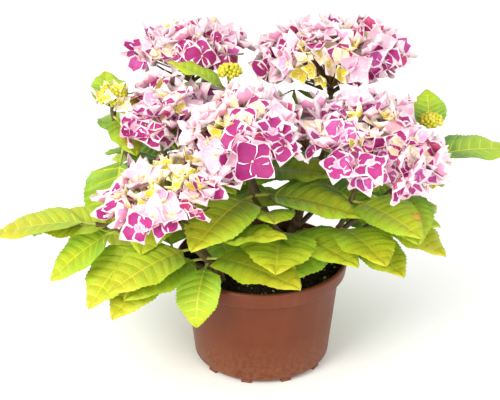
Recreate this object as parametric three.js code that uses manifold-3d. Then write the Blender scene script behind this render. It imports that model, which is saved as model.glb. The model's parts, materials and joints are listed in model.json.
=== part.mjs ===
// A bicolour mophead hydrangea growing in its moulded nursery pot.
//
// Millimetres, +Z up. The origin is the centre of the pot's flat underside; the plant's
// front looks along -Y. Compass directions are degrees anticlockwise from +X, seen from above,
// so 90 is the back and 270 the front. A rise is degrees above the horizon.
//
// The pot holds a ball of peat. Woody canes stand on it, each pruned flat at its tip. Leafy
// shoots leave the canes' sides below that cut, carry opposite pairs of leaves, and end under
// a domed head of florets or a small cluster of buds.

import * as THREE from "three";
import { mergeVertices } from "three/addons/utils/BufferGeometryUtils.js";
import Module from "manifold-3d";

const wasm = await Module();
wasm.setup();

// ---------------------------------------------------------------- driving sizes

const GAP = 0.3; // between pieces that touch
const UP = new THREE.Vector3(0, 0, 1);

const POT = {
  rimRadius: 85,
  height: 110,
  lipHeight: 17,
  lipFootRadius: 82.5,
  shoulderRadius: 76.5, // the wall just under the lip
  baseRadius: 66.5,
  wall: 2,
  footHeight: 2.5,
  feet: 10,
  footLength: 10,
  footDepth: 8,
  hubRadius: 14,
  drains: 5,
  drainRadius: 5,
  drainCircle: 40,
};
const SOIL_LEVEL = POT.height - 8;
const SEGMENTS = 40;

const CANE = { footRadius: 5.2, tipRadius: 4.2, flare: 1.55, flareHeight: 7, sides: 8 };
const SHOOT = { footRadius: 3, tipRadius: 2.3, sides: 5, steps: 6, neck: 4 };
const LEAF = { petiole: 0.17, petioleRadius: 1.5, halfWidth: 0.32, thick: 0.013, bend: 24, fold: 12 };
const FLORET = { radius: 18, waist: 0.7, cup: 2.5, thick: 1.4, stalkRadius: 0.9 };
const HEAD = { spacing: 33.5, knobRadius: 5, hubDepth: 0.3, stalk: 14, skirt: 105 };
const BUD = { beads: 8, beadRadius: 4.6, stalk: 9 };

// Canes: where each stands on the soil, and where it was pruned.
const CANES = {
  left: { foot: [-42, -38], tip: [-49, -49, 124] },
  centre: { foot: [20, -10], tip: [26, -14, 138] },
  right: { foot: [60, 2], tip: [73, -4, 138] },
  back_left: { foot: [-38, 34], tip: [-54, 42, 140] },
  back_right: { foot: [30, 44], tip: [42, 56, 140] },
};

// Flower heads: centre of the dome's widest ring, the way the dome leans and how far, its
// radius and its height above that ring.
const HEADS = {
  top_left: { at: [-72, 118, 272], lean: [110, 12], wide: 62, high: 39, skirt: 94 },
  top_right: { at: [68, 88, 277], lean: [100, 10], wide: 79, high: 47 },
  mid_left: { at: [-100, 26, 245], lean: [190, 8], wide: 55, high: 38 },
  centre: { at: [-16, -37, 248], lean: [250, 8], wide: 58, high: 46 },
  right: { at: [102, -28, 236], lean: [335, 18], wide: 70, high: 52 },
  front_left: { at: [-84, -78, 208], lean: [195, 20], wide: 70, high: 29, skirt: 88 },
  back_left: { at: [-58, 172, 176], lean: [105, 30], wide: 54, high: 38 },
  back_right: { at: [52, 172, 168], lean: [72, 30], wide: 56, high: 38 },
};

// Bud clusters: where each sits and its radius.
const BUDS = {
  left: { at: [-144, 34, 262], radius: 16 },
  middle: { at: [-31, 42, 285], radius: 12.5 },
  right: { at: [162, 18, 244], radius: 12 },
};

// Leafy shoots. Each leaves a cane the given distance below its cut and ends under its head or
// bud cluster, or at its tip. Each row is one pair of leaves:
// [share of the way along, direction the pair faces, how far each leaf stands off it,
//  rise, half the difference between the two rises, length, and how far it bends if unusual]
const SHOOTS = {
  front_left: { cane: "left", below: 8, head: "front_left", pairs: [
    [0.34, 274, 58, 6, -4, 86], [0.22, 190, 62, -6, 10, 64, 80], [0.66, 277, 62, 16, -14, 84]] },
  centre: { cane: "centre", below: 8, head: "centre", pairs: [
    [0.15, 292, 28, 6, 0, 84], [0.45, 195, 84, 12, -4, 70], [0.72, 285, 62, 4, -4, 90]] },
  right: { cane: "right", below: 8, head: "right", pairs: [
    [0.2, 262, 38, 0, 0, 78], [0.45, 275, 75, 4, 0, 84], [0.7, 35, 86, 4, 4, 78]] },
  mid_left: { cane: "back_left", below: 8, head: "mid_left", pairs: [
    [0.3, 215, 62, 0, 0, 78], [0.62, 130, 75, 6, 0, 78], [0.82, 238, 76, 4, 0, 82]] },
  top_right: { cane: "back_right", below: 8, head: "top_right", pairs: [
    [0.22, 35, 84, 0, 0, 84], [0.5, 305, 86, 4, 0, 78], [0.76, 30, 84, 6, 0, 84],
    [0.97, 92, 88, 6, 2, 72]] },
  top_left: { cane: "back_left", below: 15, head: "top_left", pairs: [
    [0.3, 150, 80, 0, 0, 82], [0.58, 75, 84, 4, 0, 86], [0.85, 165, 84, 6, 0, 78]] },
  left_low: { cane: "left", below: 16, leave: 15, tip: [-156, -60, 172], pairs: [
    [0.4, 146, 84, 2, -4, 76], [0.64, 172, 52, -4, 6, 72], [0.84, 192, 12, -8, 16, 74],
    [1, 147, 35, 1, -7, 86]] },
  right_low: { cane: "right", below: 32, leave: 20, tip: [118, -2, 148], pairs: [
    [0.5, 262, 44, 2, 0, 72], [0.96, 2, 40, 0, 0, 70]] },
  left_bud: { cane: "left", below: 8, bud: "left", early: true, pairs: [
    [0.45, 190, 70, 0, 0, 80], [0.78, 170, 86, -20, 34, 84, 40], [0.97, 20, 80, 10, -24, 50]] },
  middle_bud: { cane: "centre", below: 20, bud: "middle", pairs: [
    [0.5, 60, 84, 4, 0, 74], [0.95, 258, 80, 10, 5, 60]] },
  right_bud: { cane: "right", below: 20, bud: "right", early: true, pairs: [
    [0.5, 345, 62, 0, 0, 78], [0.8, 95, 88, 8, 0, 84], [0.98, 0, 90, 20, -46, 50]] },
  back_left: { cane: "back_left", below: 25, leave: 35, head: "back_left", pairs: [
    [0.4, 120, 76, -4, 0, 84], [0.85, 105, 82, -8, 0, 86]] },
  back_right: { cane: "back_right", below: 20, head: "back_right", pairs: [
    [0.4, 60, 76, -4, 0, 84], [0.85, 80, 82, -8, 0, 86]] },
  back_side: { cane: "back_right", below: 30, leave: 20, tip: [104, 100, 160], pairs: [
    [0.45, 30, 60, -8, 0, 76], [0.75, 50, 66, -2, 0, 76], [1, 48, 40, 8, 0, 74]] },
  left_side: { cane: "back_left", below: 33, leave: 12, tip: [-108, 86, 158], pairs: [
    [0.45, 140, 62, -8, 0, 78], [0.75, 130, 66, -2, 0, 74], [1, 125, 40, 8, 0, 70]] },
};

// Small turns that clear a leaf or floret of what already stands in its way, tried in order:
// degrees of rise and of compass for a leaf.
const LEAF_TURNS = [
  [0, 0], [9, 0], [-9, 0], [0, 13], [0, -13], [17, 8], [-17, -8], [12, -22], [-12, 22],
  [24, 0], [-24, 0], [8, 34], [-8, -34],
];

// For a floret: how far in, as a share of the dome, degrees about its stalk, and its size.
const FLORET_TURNS = [
  [1, 0, 1], [1, 45, 1], [0.93, 20, 1], [1, 0, 0.88], [1, 45, 0.88], [0.88, 20, 0.88], [0.8, 0, 0.8],
];

// ---------------------------------------------------------------- small helpers

const radians = THREE.MathUtils.degToRad;
const mix = THREE.MathUtils.lerp;

/** A repeatable stream of numbers between 0 and 1. */
function seeded(seed) {
  const modulus = 2147483647;
  let state = seed * 7919 + 11;
  return () => {
    state = (state * 16807) % modulus;
    return state / modulus;
  };
}

/** The unit vector at a compass direction and a rise. */
function heading(compass, rise) {
  const [a, r] = [radians(compass), radians(rise)];
  return new THREE.Vector3(Math.cos(a) * Math.cos(r), Math.sin(a) * Math.cos(r), Math.sin(r));
}

const stepped = (from, direction, distance) => from.clone().addScaledVector(direction, distance);

/** A closed mesh as a solid: positions only, shared vertices merged, slivers on the axis dropped. */
function solidOf(geometry) {
  const bare = new THREE.BufferGeometry().setAttribute("position", geometry.getAttribute("position"));
  bare.setIndex(geometry.index);
  const merged = mergeVertices(bare, 1e-3);
  const corners = merged.index.array;
  const kept = [];
  for (let i = 0; i < corners.length; i += 3) {
    const [a, b, c] = corners.subarray(i, i + 3);
    if (a !== b && b !== c && c !== a) kept.push(a, b, c);
  }
  return new wasm.Manifold(
    new wasm.Mesh({
      numProp: 3,
      vertProperties: merged.attributes.position.array,
      triVerts: new Uint32Array(kept),
    }),
  );
}

/** A solid from points and the triangles between them. */
function faceted(points, triangles) {
  const geometry = new THREE.BufferGeometry().setFromPoints(points);
  geometry.setIndex(triangles.flat());
  return solidOf(geometry);
}

// Corner numbers of the triangles between two rings of the same count, of the fan that draws a
// ring to a point above it, and of a flat cap that faces up.
const ringWall = (lower, upper, count) =>
  Array.from({ length: count }, (_, i) => (i + 1) % count).flatMap((next, i) => [
    [lower + i, lower + next, upper + next],
    [lower + i, upper + next, upper + i],
  ]);
const ringFan = (point, ring, count) =>
  Array.from({ length: count }, (_, i) => [point, ring + i, ring + ((i + 1) % count)]);
const ringCap = (ring, count) =>
  Array.from({ length: count - 2 }, (_, i) => [ring, ring + i + 1, ring + i + 2]);
const reversed = (triangles) => triangles.map(([a, b, c]) => [a, c, b]);

/** A limb of round section along a path, with flat ends square to it. */
function limb(path, radii, sides) {
  const points = [];
  const triangles = [];
  let side = new THREE.Vector3(1, 0, 0);
  path.forEach((centre, k) => {
    const along = path[Math.min(k + 1, path.length - 1)].clone().sub(path[Math.max(k - 1, 0)]);
    along.normalize();
    side = side.addScaledVector(along, -side.dot(along)).normalize();
    const other = along.clone().cross(side);
    for (let i = 0; i < sides; i += 1) {
      const turn = (2 * Math.PI * i) / sides;
      points.push(
        stepped(stepped(centre, side, radii[k] * Math.cos(turn)), other, radii[k] * Math.sin(turn)),
      );
    }
    if (k > 0) triangles.push(...ringWall((k - 1) * sides, k * sides, sides));
  });
  triangles.push(...reversed(ringCap(0, sides)), ...ringCap((path.length - 1) * sides, sides));
  return faceted(points, triangles);
}

/** A three-sided twig that narrows a little from one point to another. */
const twig = (from, to, radius) => limb([from, to], [radius, 0.8 * radius], 3);

/** A body of revolution about the vertical, from a closed profile of [radius, height]. */
function turned(profile, segments = SEGMENTS) {
  const outline = profile.map(([radius, height]) => new THREE.Vector2(radius, height));
  return solidOf(new THREE.LatheGeometry(outline, segments).rotateX(Math.PI / 2));
}

/** One solid from many, found quickly because only close neighbours are compared. */
const joined = (solids) => wasm.Manifold.union(solids);

// ---------------------------------------------------------------- keeping out of the way

// Every piece that stands in the plant so far, with the node it belongs to.
const standing = [];

function boxesMeet(a, b) {
  return [0, 1, 2].every((i) => a.min[i] < b.max[i] + GAP && b.min[i] < a.max[i] + GAP);
}

/** True if a solid keeps the gap to every piece that stands in another node. */
function isClear(solid, owner) {
  const box = solid.boundingBox();
  return standing.every(
    (piece) =>
      piece.owner === owner || !boxesMeet(box, piece.box) || solid.minGap(piece.solid, GAP) >= GAP,
  );
}

/** True if a solid barely crosses any of the others, as neighbouring rays do at their hub. */
const isFree = (solid, others) => others.every((other) => solid.intersect(other).volume() < 0.1);

function stand(solid, owner) {
  standing.push({ solid, owner, box: solid.boundingBox() });
  return solid;
}

// ---------------------------------------------------------------- pot and soil

/** Radius of the pot's outside wall at a height, below the lip. */
function wallRadius(height) {
  const share = (height - POT.footHeight) / (POT.height - POT.lipHeight - POT.footHeight);
  return mix(POT.baseRadius, POT.shoulderRadius, share);
}

function potSolid() {
  const { rimRadius, height, lipHeight, lipFootRadius, wall, footHeight, baseRadius } = POT;
  const shoulder = height - lipHeight;
  const round = 2.2;
  const outside = [
    [0, footHeight],
    [baseRadius - 1.5 * round, footHeight],
    [wallRadius(footHeight + 2 * round), footHeight + 2 * round],
    [wallRadius(shoulder), shoulder],
    [lipFootRadius, shoulder + 0.8],
    [rimRadius, height - 2],
    [rimRadius - 1.4, height],
  ];
  const inside = [
    [rimRadius - 4, height],
    [lipFootRadius - 2 * wall, shoulder + 5],
    [wallRadius(shoulder) - wall, shoulder - 2],
    [wallRadius(footHeight + wall) - wall, footHeight + wall],
    [0, footHeight + wall],
  ];
  const body = turned([...outside, ...inside]);
  const hubTop = footHeight + 1;
  const hub = turned([[0, 0], [POT.hubRadius, 0], [POT.hubRadius, hubTop], [0, hubTop]], 16);
  const feet = aroundAxis(POT.feet, 4, (turn) =>
    new THREE.BoxGeometry(POT.footDepth, POT.footLength, footHeight + 1)
      .translate(baseRadius - 1 - POT.footDepth / 2, 0, (footHeight + 1) / 2)
      .rotateZ(turn),
  );
  const drains = aroundAxis(POT.drains, 20, (turn) =>
    new THREE.CylinderGeometry(POT.drainRadius, POT.drainRadius, 4 * wall, 10)
      .rotateX(Math.PI / 2)
      .translate(POT.drainCircle, 0, footHeight + wall)
      .rotateZ(turn),
  );
  return joined([body, hub, ...feet]).subtract(joined(drains));
}

/** The same geometry made at even turns about the vertical, starting at some degrees. */
function aroundAxis(count, start, make) {
  return Array.from({ length: count }, (_, i) =>
    solidOf(make(radians(start) + (2 * Math.PI * i) / count)),
  );
}

/** The peat that fills the pot, flat where the canes stand. */
function soilSolid() {
  const { height, lipHeight, lipFootRadius, wall, footHeight } = POT;
  const floor = footHeight + wall + GAP;
  const shoulder = height - lipHeight;
  const clear = wall + GAP + 0.3;
  return turned([
    [0, floor],
    [wallRadius(floor) - clear, floor],
    [wallRadius(shoulder) - clear, shoulder - 2.2],
    [lipFootRadius - 2 * wall - GAP - 0.5, shoulder + 5],
    [lipFootRadius - 2 * wall - GAP - 0.5, SOIL_LEVEL],
    [0, SOIL_LEVEL],
  ]);
}

// ---------------------------------------------------------------- canes and shoots

/** A cane's centre line and radii, from its flared foot on the soil to its flat cut. */
function canePath({ foot, tip }) {
  const ground = new THREE.Vector3(foot[0], foot[1], SOIL_LEVEL + GAP);
  const top = new THREE.Vector3(...tip);
  const neck = stepped(ground, UP, CANE.flareHeight);
  const middle = neck.clone().lerp(top, 0.5);
  const { footRadius, tipRadius } = CANE;
  return {
    path: [ground, neck, middle, top],
    radii: [footRadius * CANE.flare, footRadius, mix(footRadius, tipRadius, 0.5), tipRadius],
  };
}

function caneSolid(cane, spare = 0) {
  const { path, radii } = canePath(cane);
  const flats = spare / Math.cos(Math.PI / CANE.sides);
  const cut = path.pop();
  path.push(stepped(cut, cut.clone().sub(path.at(-1)).normalize(), spare));
  return limb(path, radii.map((r) => r + flats), CANE.sides);
}

/** Where a head's parts stand: its axis, the hub that its rays leave, and its stalk's foot. */
function headFrame({ at, lean, wide }) {
  const axis = heading(lean[0], 90 - lean[1]);
  const centre = new THREE.Vector3(...at);
  const hub = stepped(centre, axis, -HEAD.hubDepth * wide);
  return { axis, centre, hub, foot: stepped(hub, axis, -HEAD.stalk) };
}

/** A shoot's centre line: out of the cane's side and up, with a short straight neck at its end. */
function shootCurve(shoot) {
  const { path } = canePath(CANES[shoot.cane]);
  const down = path.at(-1).clone().sub(path[1]).normalize();
  const start = stepped(path.at(-1), down, -shoot.below);
  let end;
  let axis = UP;
  if (shoot.head) {
    const frame = headFrame(HEADS[shoot.head]);
    axis = frame.axis;
    end = stepped(frame.foot, axis, -GAP);
  } else if (shoot.bud) {
    end = stepped(new THREE.Vector3(...BUDS[shoot.bud].at), UP, -BUD.stalk - GAP);
  } else {
    end = new THREE.Vector3(...shoot.tip);
    axis = end.clone().sub(start).setZ(20).normalize();
  }
  const neck = stepped(end, axis, -SHOOT.neck);
  const reach = start.distanceTo(neck);
  const flat = end.clone().sub(start).setZ(0).normalize();
  const leave = radians(shoot.leave ?? 55);
  const out = flat.multiplyScalar(Math.cos(leave)).addScaledVector(UP, Math.sin(leave));
  const curve = new THREE.CubicBezierCurve3(
    start,
    stepped(start, out, 0.3 * reach),
    stepped(neck, axis, -0.34 * reach),
    neck,
  );
  return { curve, end };
}

function shootStem(shoot) {
  const { curve, end } = shootCurve(shoot);
  const path = [...curve.getPoints(SHOOT.steps - 1), end];
  const radii = path.map((_, i) => mix(SHOOT.footRadius, SHOOT.tipRadius, i / SHOOT.steps));
  return limb(path, radii, SHOOT.sides).subtract(caneSolid(CANES[shoot.cane], 1.5 * GAP));
}

// ---------------------------------------------------------------- leaves

// Half width of the blade along its midrib, as a share of the widest.
const BLADE = [[0.13, 0.76], [0.42, 1], [0.76, 0.58]];

/**
 * One ovate leaf, petiole and blade swept as one solid of diamond sections. The midrib bends
 * down along its length, and the two halves fold up from it.
 */
function leafSolid(root, { compass, rise, length, roll, bend }) {
  const across = heading(compass + 90, 0).applyAxisAngle(heading(compass, rise), radians(roll));
  const base = stepped(root, heading(compass, rise + 8), LEAF.petiole * length);
  const points = [];
  const addSection = (centre, along, half, thick, lift) => {
    const up = along.clone().cross(across).normalize();
    points.push(
      stepped(centre, up, -thick),
      stepped(stepped(centre, across, half), up, lift),
      stepped(centre, up, thick),
      stepped(stepped(centre, across, -half), up, lift),
    );
  };
  addSection(root, heading(compass, rise + 8), LEAF.petioleRadius, LEAF.petioleRadius, 0);
  addSection(base, heading(compass, rise), LEAF.petioleRadius, LEAF.petioleRadius, 0);
  let [centre, reached] = [base, 0];
  for (const [share, width] of [...BLADE, [1, 0]]) {
    const along = heading(compass, rise - (bend * (share + reached)) / 2);
    centre = stepped(centre, along, (share - reached) * length);
    reached = share;
    const half = width * LEAF.halfWidth * length;
    const thick = 0.5 * LEAF.thick * length;
    if (width) addSection(centre, along, half, thick, half * Math.tan(radians(LEAF.fold)));
  }
  const last = points.length - 4;
  points.push(centre);
  const walls = Array.from({ length: last / 4 }, (_, k) => ringWall(4 * k, 4 * k + 4, 4)).flat();
  return faceted(points, [...reversed(ringCap(0, 4)), ...walls, ...ringFan(last + 4, last, 4)]);
}

/** The leaves of one shoot: opposite pairs, each leaf turned a little where it would touch. */
function leavesOf(name, shoot, seed) {
  const next = seeded(seed);
  const { curve } = shootCurve(shoot);
  const leaves = [];
  for (const [along, faces, off, rise, slant, length, bend = LEAF.bend] of shoot.pairs) {
    const root = curve.getPoint(along);
    for (const side of [1, -1]) {
      const wanted = {
        compass: faces + side * off + 8 * (next() - 0.5),
        rise: rise - side * slant + 8 * (next() - 0.5),
        length: length * mix(0.94, 1.06, next()),
        roll: 16 * (next() - 0.5),
        bend,
      };
      const leaf = clearLeaf(root, wanted, name);
      if (leaf) leaves.push(stand(leaf, name));
    }
  }
  return leaves;
}

/** The leaf as wanted, or the first small turn or shorter length of it that keeps clear. */
function clearLeaf(root, wanted, owner) {
  for (const share of [1, 0.82]) {
    for (const [rise, compass] of LEAF_TURNS) {
      const tried = {
        compass: wanted.compass + compass,
        rise: wanted.rise + rise,
        length: wanted.length * share,
        roll: wanted.roll,
        bend: wanted.bend,
      };
      const leaf = leafSolid(root, tried);
      if (isClear(leaf, owner)) return leaf;
    }
  }
  return null;
}

// ---------------------------------------------------------------- flower heads and buds

/** One floret on its stalk: four pointed sepals in a shallow cup, thin at the edge. */
function floretSolid(centre, facing, spin, radius, fork) {
  const side = facing.clone().cross(Math.abs(facing.z) < 0.9 ? UP : new THREE.Vector3(1, 0, 0));
  side.normalize().applyAxisAngle(facing, spin);
  const other = facing.clone().cross(side);
  const ring = (middle, count, reach, lift) =>
    Array.from({ length: count }, (_, i) => {
      const turn = (2 * Math.PI * i) / count;
      const spoke = side.clone().multiplyScalar(Math.cos(turn)).addScaledVector(other, Math.sin(turn));
      return stepped(stepped(middle, spoke, reach(i)), facing, lift(i));
    });
  const points = [
    ...ring(centre, 8, (i) => (i % 2 ? FLORET.waist * radius : radius), (i) => (i % 2 ? FLORET.cup : 0)),
    ...ring(centre, 3, () => 1.6 * FLORET.stalkRadius, () => -FLORET.thick),
    ...ring(fork, 3, () => FLORET.stalkRadius, () => 0),
    stepped(centre, facing, FLORET.thick),
  ];
  // The underside runs from the eight points of the star in to the three corners of the stalk.
  const corner = (i) => 8 + (Math.floor((i * 3 + 1) / 8) % 3);
  const under = [0, 1, 2, 3, 4, 5, 6, 7].flatMap((i) => {
    const next = (i + 1) % 8;
    const turn = corner(i) === corner(next) ? [] : [[corner(i), corner(next), next]];
    return [[i, corner(i), next], ...turn];
  });
  return faceted(points, [
    ...ringFan(14, 0, 8), ...under, ...reversed(ringWall(8, 11, 3)), ...reversed(ringCap(11, 3))]);
}

/** Even places on a dome, by the golden angle: share of the way down, and turn about the axis. */
function domePlaces(count) {
  const golden = Math.PI * (3 - Math.sqrt(5));
  return Array.from({ length: count }, (_, i) => ({ down: (i + 0.5) / count, turn: i * golden }));
}

/** A head: stalk, hub, and a floret on a ray of its own at every place that is free. */
function headSolid(name, head, seed) {
  const next = seeded(seed);
  const owner = "head_" + name;
  const { axis, centre, hub, foot } = headFrame(head);
  const side = axis.clone().cross(new THREE.Vector3(0, 1, 0)).normalize();
  const other = axis.clone().cross(side);
  const around = (turn) =>
    side.clone().multiplyScalar(Math.cos(turn)).addScaledVector(other, Math.sin(turn));
  const knob = new THREE.IcosahedronGeometry(HEAD.knobRadius).translate(hub.x, hub.y, hub.z);
  const pieces = [
    limb([foot, stepped(hub, axis, 1)], [SHOOT.tipRadius, 0.6 * HEAD.knobRadius], SHOOT.sides),
    solidOf(knob),
  ];
  const flowers = [];
  pieces.forEach((piece) => stand(piece, owner));
  const lowest = Math.cos(radians(head.skirt ?? HEAD.skirt));
  const area = Math.PI * head.wide * (head.wide + head.high) * (1 - lowest);
  const count = Math.round(area / HEAD.spacing ** 2);
  for (const { down, turn } of domePlaces(count)) {
    const cosine = mix(1, lowest, down);
    const sine = Math.sqrt(1 - cosine * cosine);
    const outward = around(turn);
    const reach = mix(0.96, 1.02, next());
    const facing = outward.clone().multiplyScalar(sine / head.wide);
    facing.addScaledVector(axis, cosine / head.high).normalize();
    facing.addScaledVector(around(2 * Math.PI * next()), 0.2).normalize();
    const spin = 2 * Math.PI * next();
    for (const [sink, twist, size] of FLORET_TURNS) {
      const spread = (head.wide - 0.4 * FLORET.radius) * sine * reach * sink;
      const lift = (head.high - 2) * cosine * reach * sink;
      const place = stepped(stepped(centre, outward, spread), axis, lift);
      const root = stepped(hub, place.clone().sub(hub).normalize(), 0.6 * HEAD.knobRadius);
      const flower = floretSolid(place, facing, spin + radians(twist), FLORET.radius * size, root);
      if (!isClear(flower, owner) || !isFree(flower, flowers)) continue;
      flowers.push(flower);
      pieces.push(stand(flower, owner));
      break;
    }
  }
  return joined(pieces);
}

/** An unopened cluster: a short stalk and a low dome of beads. */
function budSolid({ at, radius }) {
  const centre = new THREE.Vector3(...at);
  const foot = stepped(centre, UP, -BUD.stalk);
  const stalk = limb([foot, centre], [SHOOT.tipRadius, 0.5 * radius], SHOOT.sides);
  const core = new THREE.IcosahedronGeometry(0.82 * radius, 0).scale(1, 1, 0.6).translate(...at);
  const beads = domePlaces(BUD.beads).map(({ down, turn }) => {
    const cosine = mix(1, -0.1, down);
    const sine = Math.sqrt(1 - cosine * cosine);
    const spread = 0.8 * radius;
    return new THREE.OctahedronGeometry(BUD.beadRadius).translate(
      at[0] + spread * sine * Math.cos(turn),
      at[1] + spread * sine * Math.sin(turn),
      at[2] + 0.5 * radius * cosine,
    );
  });
  return joined([stalk, solidOf(core), ...beads.map(solidOf)]);
}

// ---------------------------------------------------------------- the assembly

const finish = (colour, roughness) =>
  new THREE.MeshStandardMaterial({ color: colour, roughness, metalness: 0 });
const MATERIALS = {
  pot: finish("#9a5238", 0.5),
  soil: finish("#2a231c", 0.95),
  bark: finish("#5b452c", 0.8),
  foliage: finish("#a3c62c", 0.55),
  petals: finish("#cf4f9c", 0.6),
  buds: finish("#dcd84e", 0.6),
};

const plant = new THREE.Group();

/** Adds a solid to the plant as a named mesh. */
function addNode(name, solid, material) {
  const { numProp, numVert, vertProperties, triVerts } = solid.getMesh();
  const positions = new Float32Array(3 * numVert);
  for (let i = 0; i < numVert; i += 1) {
    positions.set(vertProperties.subarray(i * numProp, i * numProp + 3), 3 * i);
  }
  const geometry = new THREE.BufferGeometry();
  geometry.setAttribute("position", new THREE.BufferAttribute(positions, 3));
  geometry.setIndex(new THREE.BufferAttribute(triVerts, 1));
  geometry.computeVertexNormals();
  const mesh = new THREE.Mesh(geometry, material);
  mesh.name = name;
  plant.add(mesh);
}

addNode("pot", stand(potSolid(), "pot"), MATERIALS.pot);
addNode("soil", stand(soilSolid(), "soil"), MATERIALS.soil);

for (const [name, cane] of Object.entries(CANES)) {
  addNode("cane_" + name, stand(caneSolid(cane), "cane_" + name), MATERIALS.bark);
}

for (const [name, bud] of Object.entries(BUDS)) {
  addNode("bud_" + name, stand(budSolid(bud), "bud_" + name), MATERIALS.buds);
}

const stems = {};
for (const [name, shoot] of Object.entries(SHOOTS)) {
  stems[name] = stand(shootStem(shoot), "shoot_" + name);
}

function addShoots(early) {
  Object.entries(SHOOTS).forEach(([name, shoot], i) => {
    const owner = "shoot_" + name;
    if (Boolean(shoot.early) !== early) return;
    addNode(owner, joined([stems[name], ...leavesOf(owner, shoot, 1 + i)]), MATERIALS.foliage);
  });
}

// The leaves about the side buds show in front of the heads, so they take their places first.
addShoots(true);
Object.entries(HEADS).forEach(([name, head], i) => {
  addNode("head_" + name, headSolid(name, head, 101 + i), MATERIALS.petals);
});
addShoots(false);
export default plant;
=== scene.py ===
# %% [markdown]
# # A mophead hydrangea in its nursery pot
# This lesson dresses a plain solid model of a potted hydrangea. The solids already give the
# pot, the peat, the woody canes, the leafy shoots and the domed heads their places and sizes.
# Here each of them is grown again, finer, by the same rule that placed the solids: canes with
# bark, leaves with veins and teeth, and heads of four-sepalled florets.

# %% Load the solid model
import json
import math

import bmesh
import bpy
import numpy as np
from mathutils import Matrix, Vector, noise

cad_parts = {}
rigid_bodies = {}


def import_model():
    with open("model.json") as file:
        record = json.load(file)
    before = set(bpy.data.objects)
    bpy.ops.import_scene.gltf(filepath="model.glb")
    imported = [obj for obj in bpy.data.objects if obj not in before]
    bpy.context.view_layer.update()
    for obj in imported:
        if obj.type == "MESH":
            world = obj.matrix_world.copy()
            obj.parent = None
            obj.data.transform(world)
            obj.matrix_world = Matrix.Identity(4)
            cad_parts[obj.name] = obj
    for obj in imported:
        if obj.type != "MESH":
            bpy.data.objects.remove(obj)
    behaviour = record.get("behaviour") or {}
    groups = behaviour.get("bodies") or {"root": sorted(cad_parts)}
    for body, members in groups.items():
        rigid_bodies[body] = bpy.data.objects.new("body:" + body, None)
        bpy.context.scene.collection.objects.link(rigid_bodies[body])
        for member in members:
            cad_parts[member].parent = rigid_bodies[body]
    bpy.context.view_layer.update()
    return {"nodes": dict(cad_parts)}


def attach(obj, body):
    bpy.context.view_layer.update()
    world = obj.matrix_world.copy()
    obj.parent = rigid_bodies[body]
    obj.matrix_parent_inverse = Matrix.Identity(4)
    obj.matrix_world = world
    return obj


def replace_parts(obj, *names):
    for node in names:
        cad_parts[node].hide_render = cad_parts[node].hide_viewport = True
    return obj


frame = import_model()

# %% [markdown]
# ## Camera
# A long lens from far off, a little above the plant, flattens perspective the way a studio
# shot does. It looks along +Y, towards the plant's front.

# %% Camera
LOOK_AT = Vector((-0.0116, 0.0, 0.169))
RISE, DISTANCE = math.radians(25.5), 1.5


def linked(name, data):
    """A new object in the scene."""
    made = bpy.data.objects.new(name, data)
    bpy.context.scene.collection.objects.link(made)
    return made


camera = linked("camera", bpy.data.cameras.new("camera"))
bpy.context.scene.camera = camera
camera.data.lens = 111.4
camera.data.sensor_width = 36
towards = Vector((0, -math.cos(RISE), math.sin(RISE)))
camera.location = LOOK_AT + DISTANCE * towards
camera.rotation_euler = (-towards).to_track_quat("-Z", "Y").to_euler()
camera.data.clip_end = 50
print("camera at", tuple(round(v, 3) for v in camera.location))

# %% [markdown]
# ## Small tools
# The plant is measured in millimetres, as its source is, and each mesh is turned to metres
# once, when it is built. A number stream with a fixed seed makes every run alike. `build`
# turns arrays of points and faces into one object, with a material for each zone of faces.

# %% Small tools
MM = 0.001
GOLDEN = math.pi * (3 - math.sqrt(5))
UP = np.array([0.0, 0.0, 1.0])
SEEDS = dict(places=1, tones=77, leaves=300, florets=40, largest=91, heads=11, buds=50)


def seeded(seed):
    """A repeatable stream of numbers between 0 and 1."""
    state = seed * 7919 + 11

    def draw():
        nonlocal state
        state = state * 16807 % 2147483647
        return state / 2147483647

    return draw


def mix(a, b, share):
    return a + (b - a) * share


def unit(v):
    return v / np.linalg.norm(v)


def heading(compass, rise):
    """Unit vector at degrees anticlockwise from +X and degrees above the horizon."""
    a, r = math.radians(compass), math.radians(rise)
    return np.array([math.cos(a) * math.cos(r), math.sin(a) * math.cos(r), math.sin(r)])


def turned(v, axis, degrees):
    """A vector turned about an axis."""
    a, k = math.radians(degrees), unit(axis)
    return v * math.cos(a) + np.cross(k, v) * math.sin(a) + k * np.dot(k, v) * (1 - math.cos(a))


def build(name, points, faces, materials=(), zones=None, smooth=True):
    """One object from points in millimetres, faces and the material zone of each face."""
    mesh = bpy.data.meshes.new(name)
    mesh.from_pydata((np.asarray(points) * MM).tolist(), [], faces)
    for material in materials:
        mesh.materials.append(material)
    if zones is not None:
        mesh.polygons.foreach_set("material_index", np.asarray(zones, dtype=np.int32))
    mesh.polygons.foreach_set("use_smooth", [smooth] * len(faces))
    mesh.update()
    if smooth:
        mesh.set_sharp_from_angle(angle=math.radians(55))
    return linked(name, mesh)


def triangles(thing):
    return sum(len(polygon.vertices) - 2 for polygon in thing.data.polygons)


class Batch:
    """Points, faces and zones of many small shapes, gathered for one object."""

    def __init__(self):
        self.points, self.faces, self.zones, self.count = [], [], [], 0

    def add(self, points, faces, zones):
        self.points.append(np.asarray(points, dtype=float))
        self.faces += [tuple(self.count + i for i in face) for face in faces]
        self.zones += zones
        self.count += len(points)

    def build(self, name, materials):
        return build(name, np.concatenate(self.points), self.faces, materials, self.zones)


def ring_walls(rings, sides, start=0):
    """The quads between rings of corners."""
    quads = []
    for k in range(rings - 1):
        for i in range(sides):
            a, b = start + k * sides + i, start + k * sides + (i + 1) % sides
            quads.append((a, b, b + sides, a + sides))
    return quads


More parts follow.
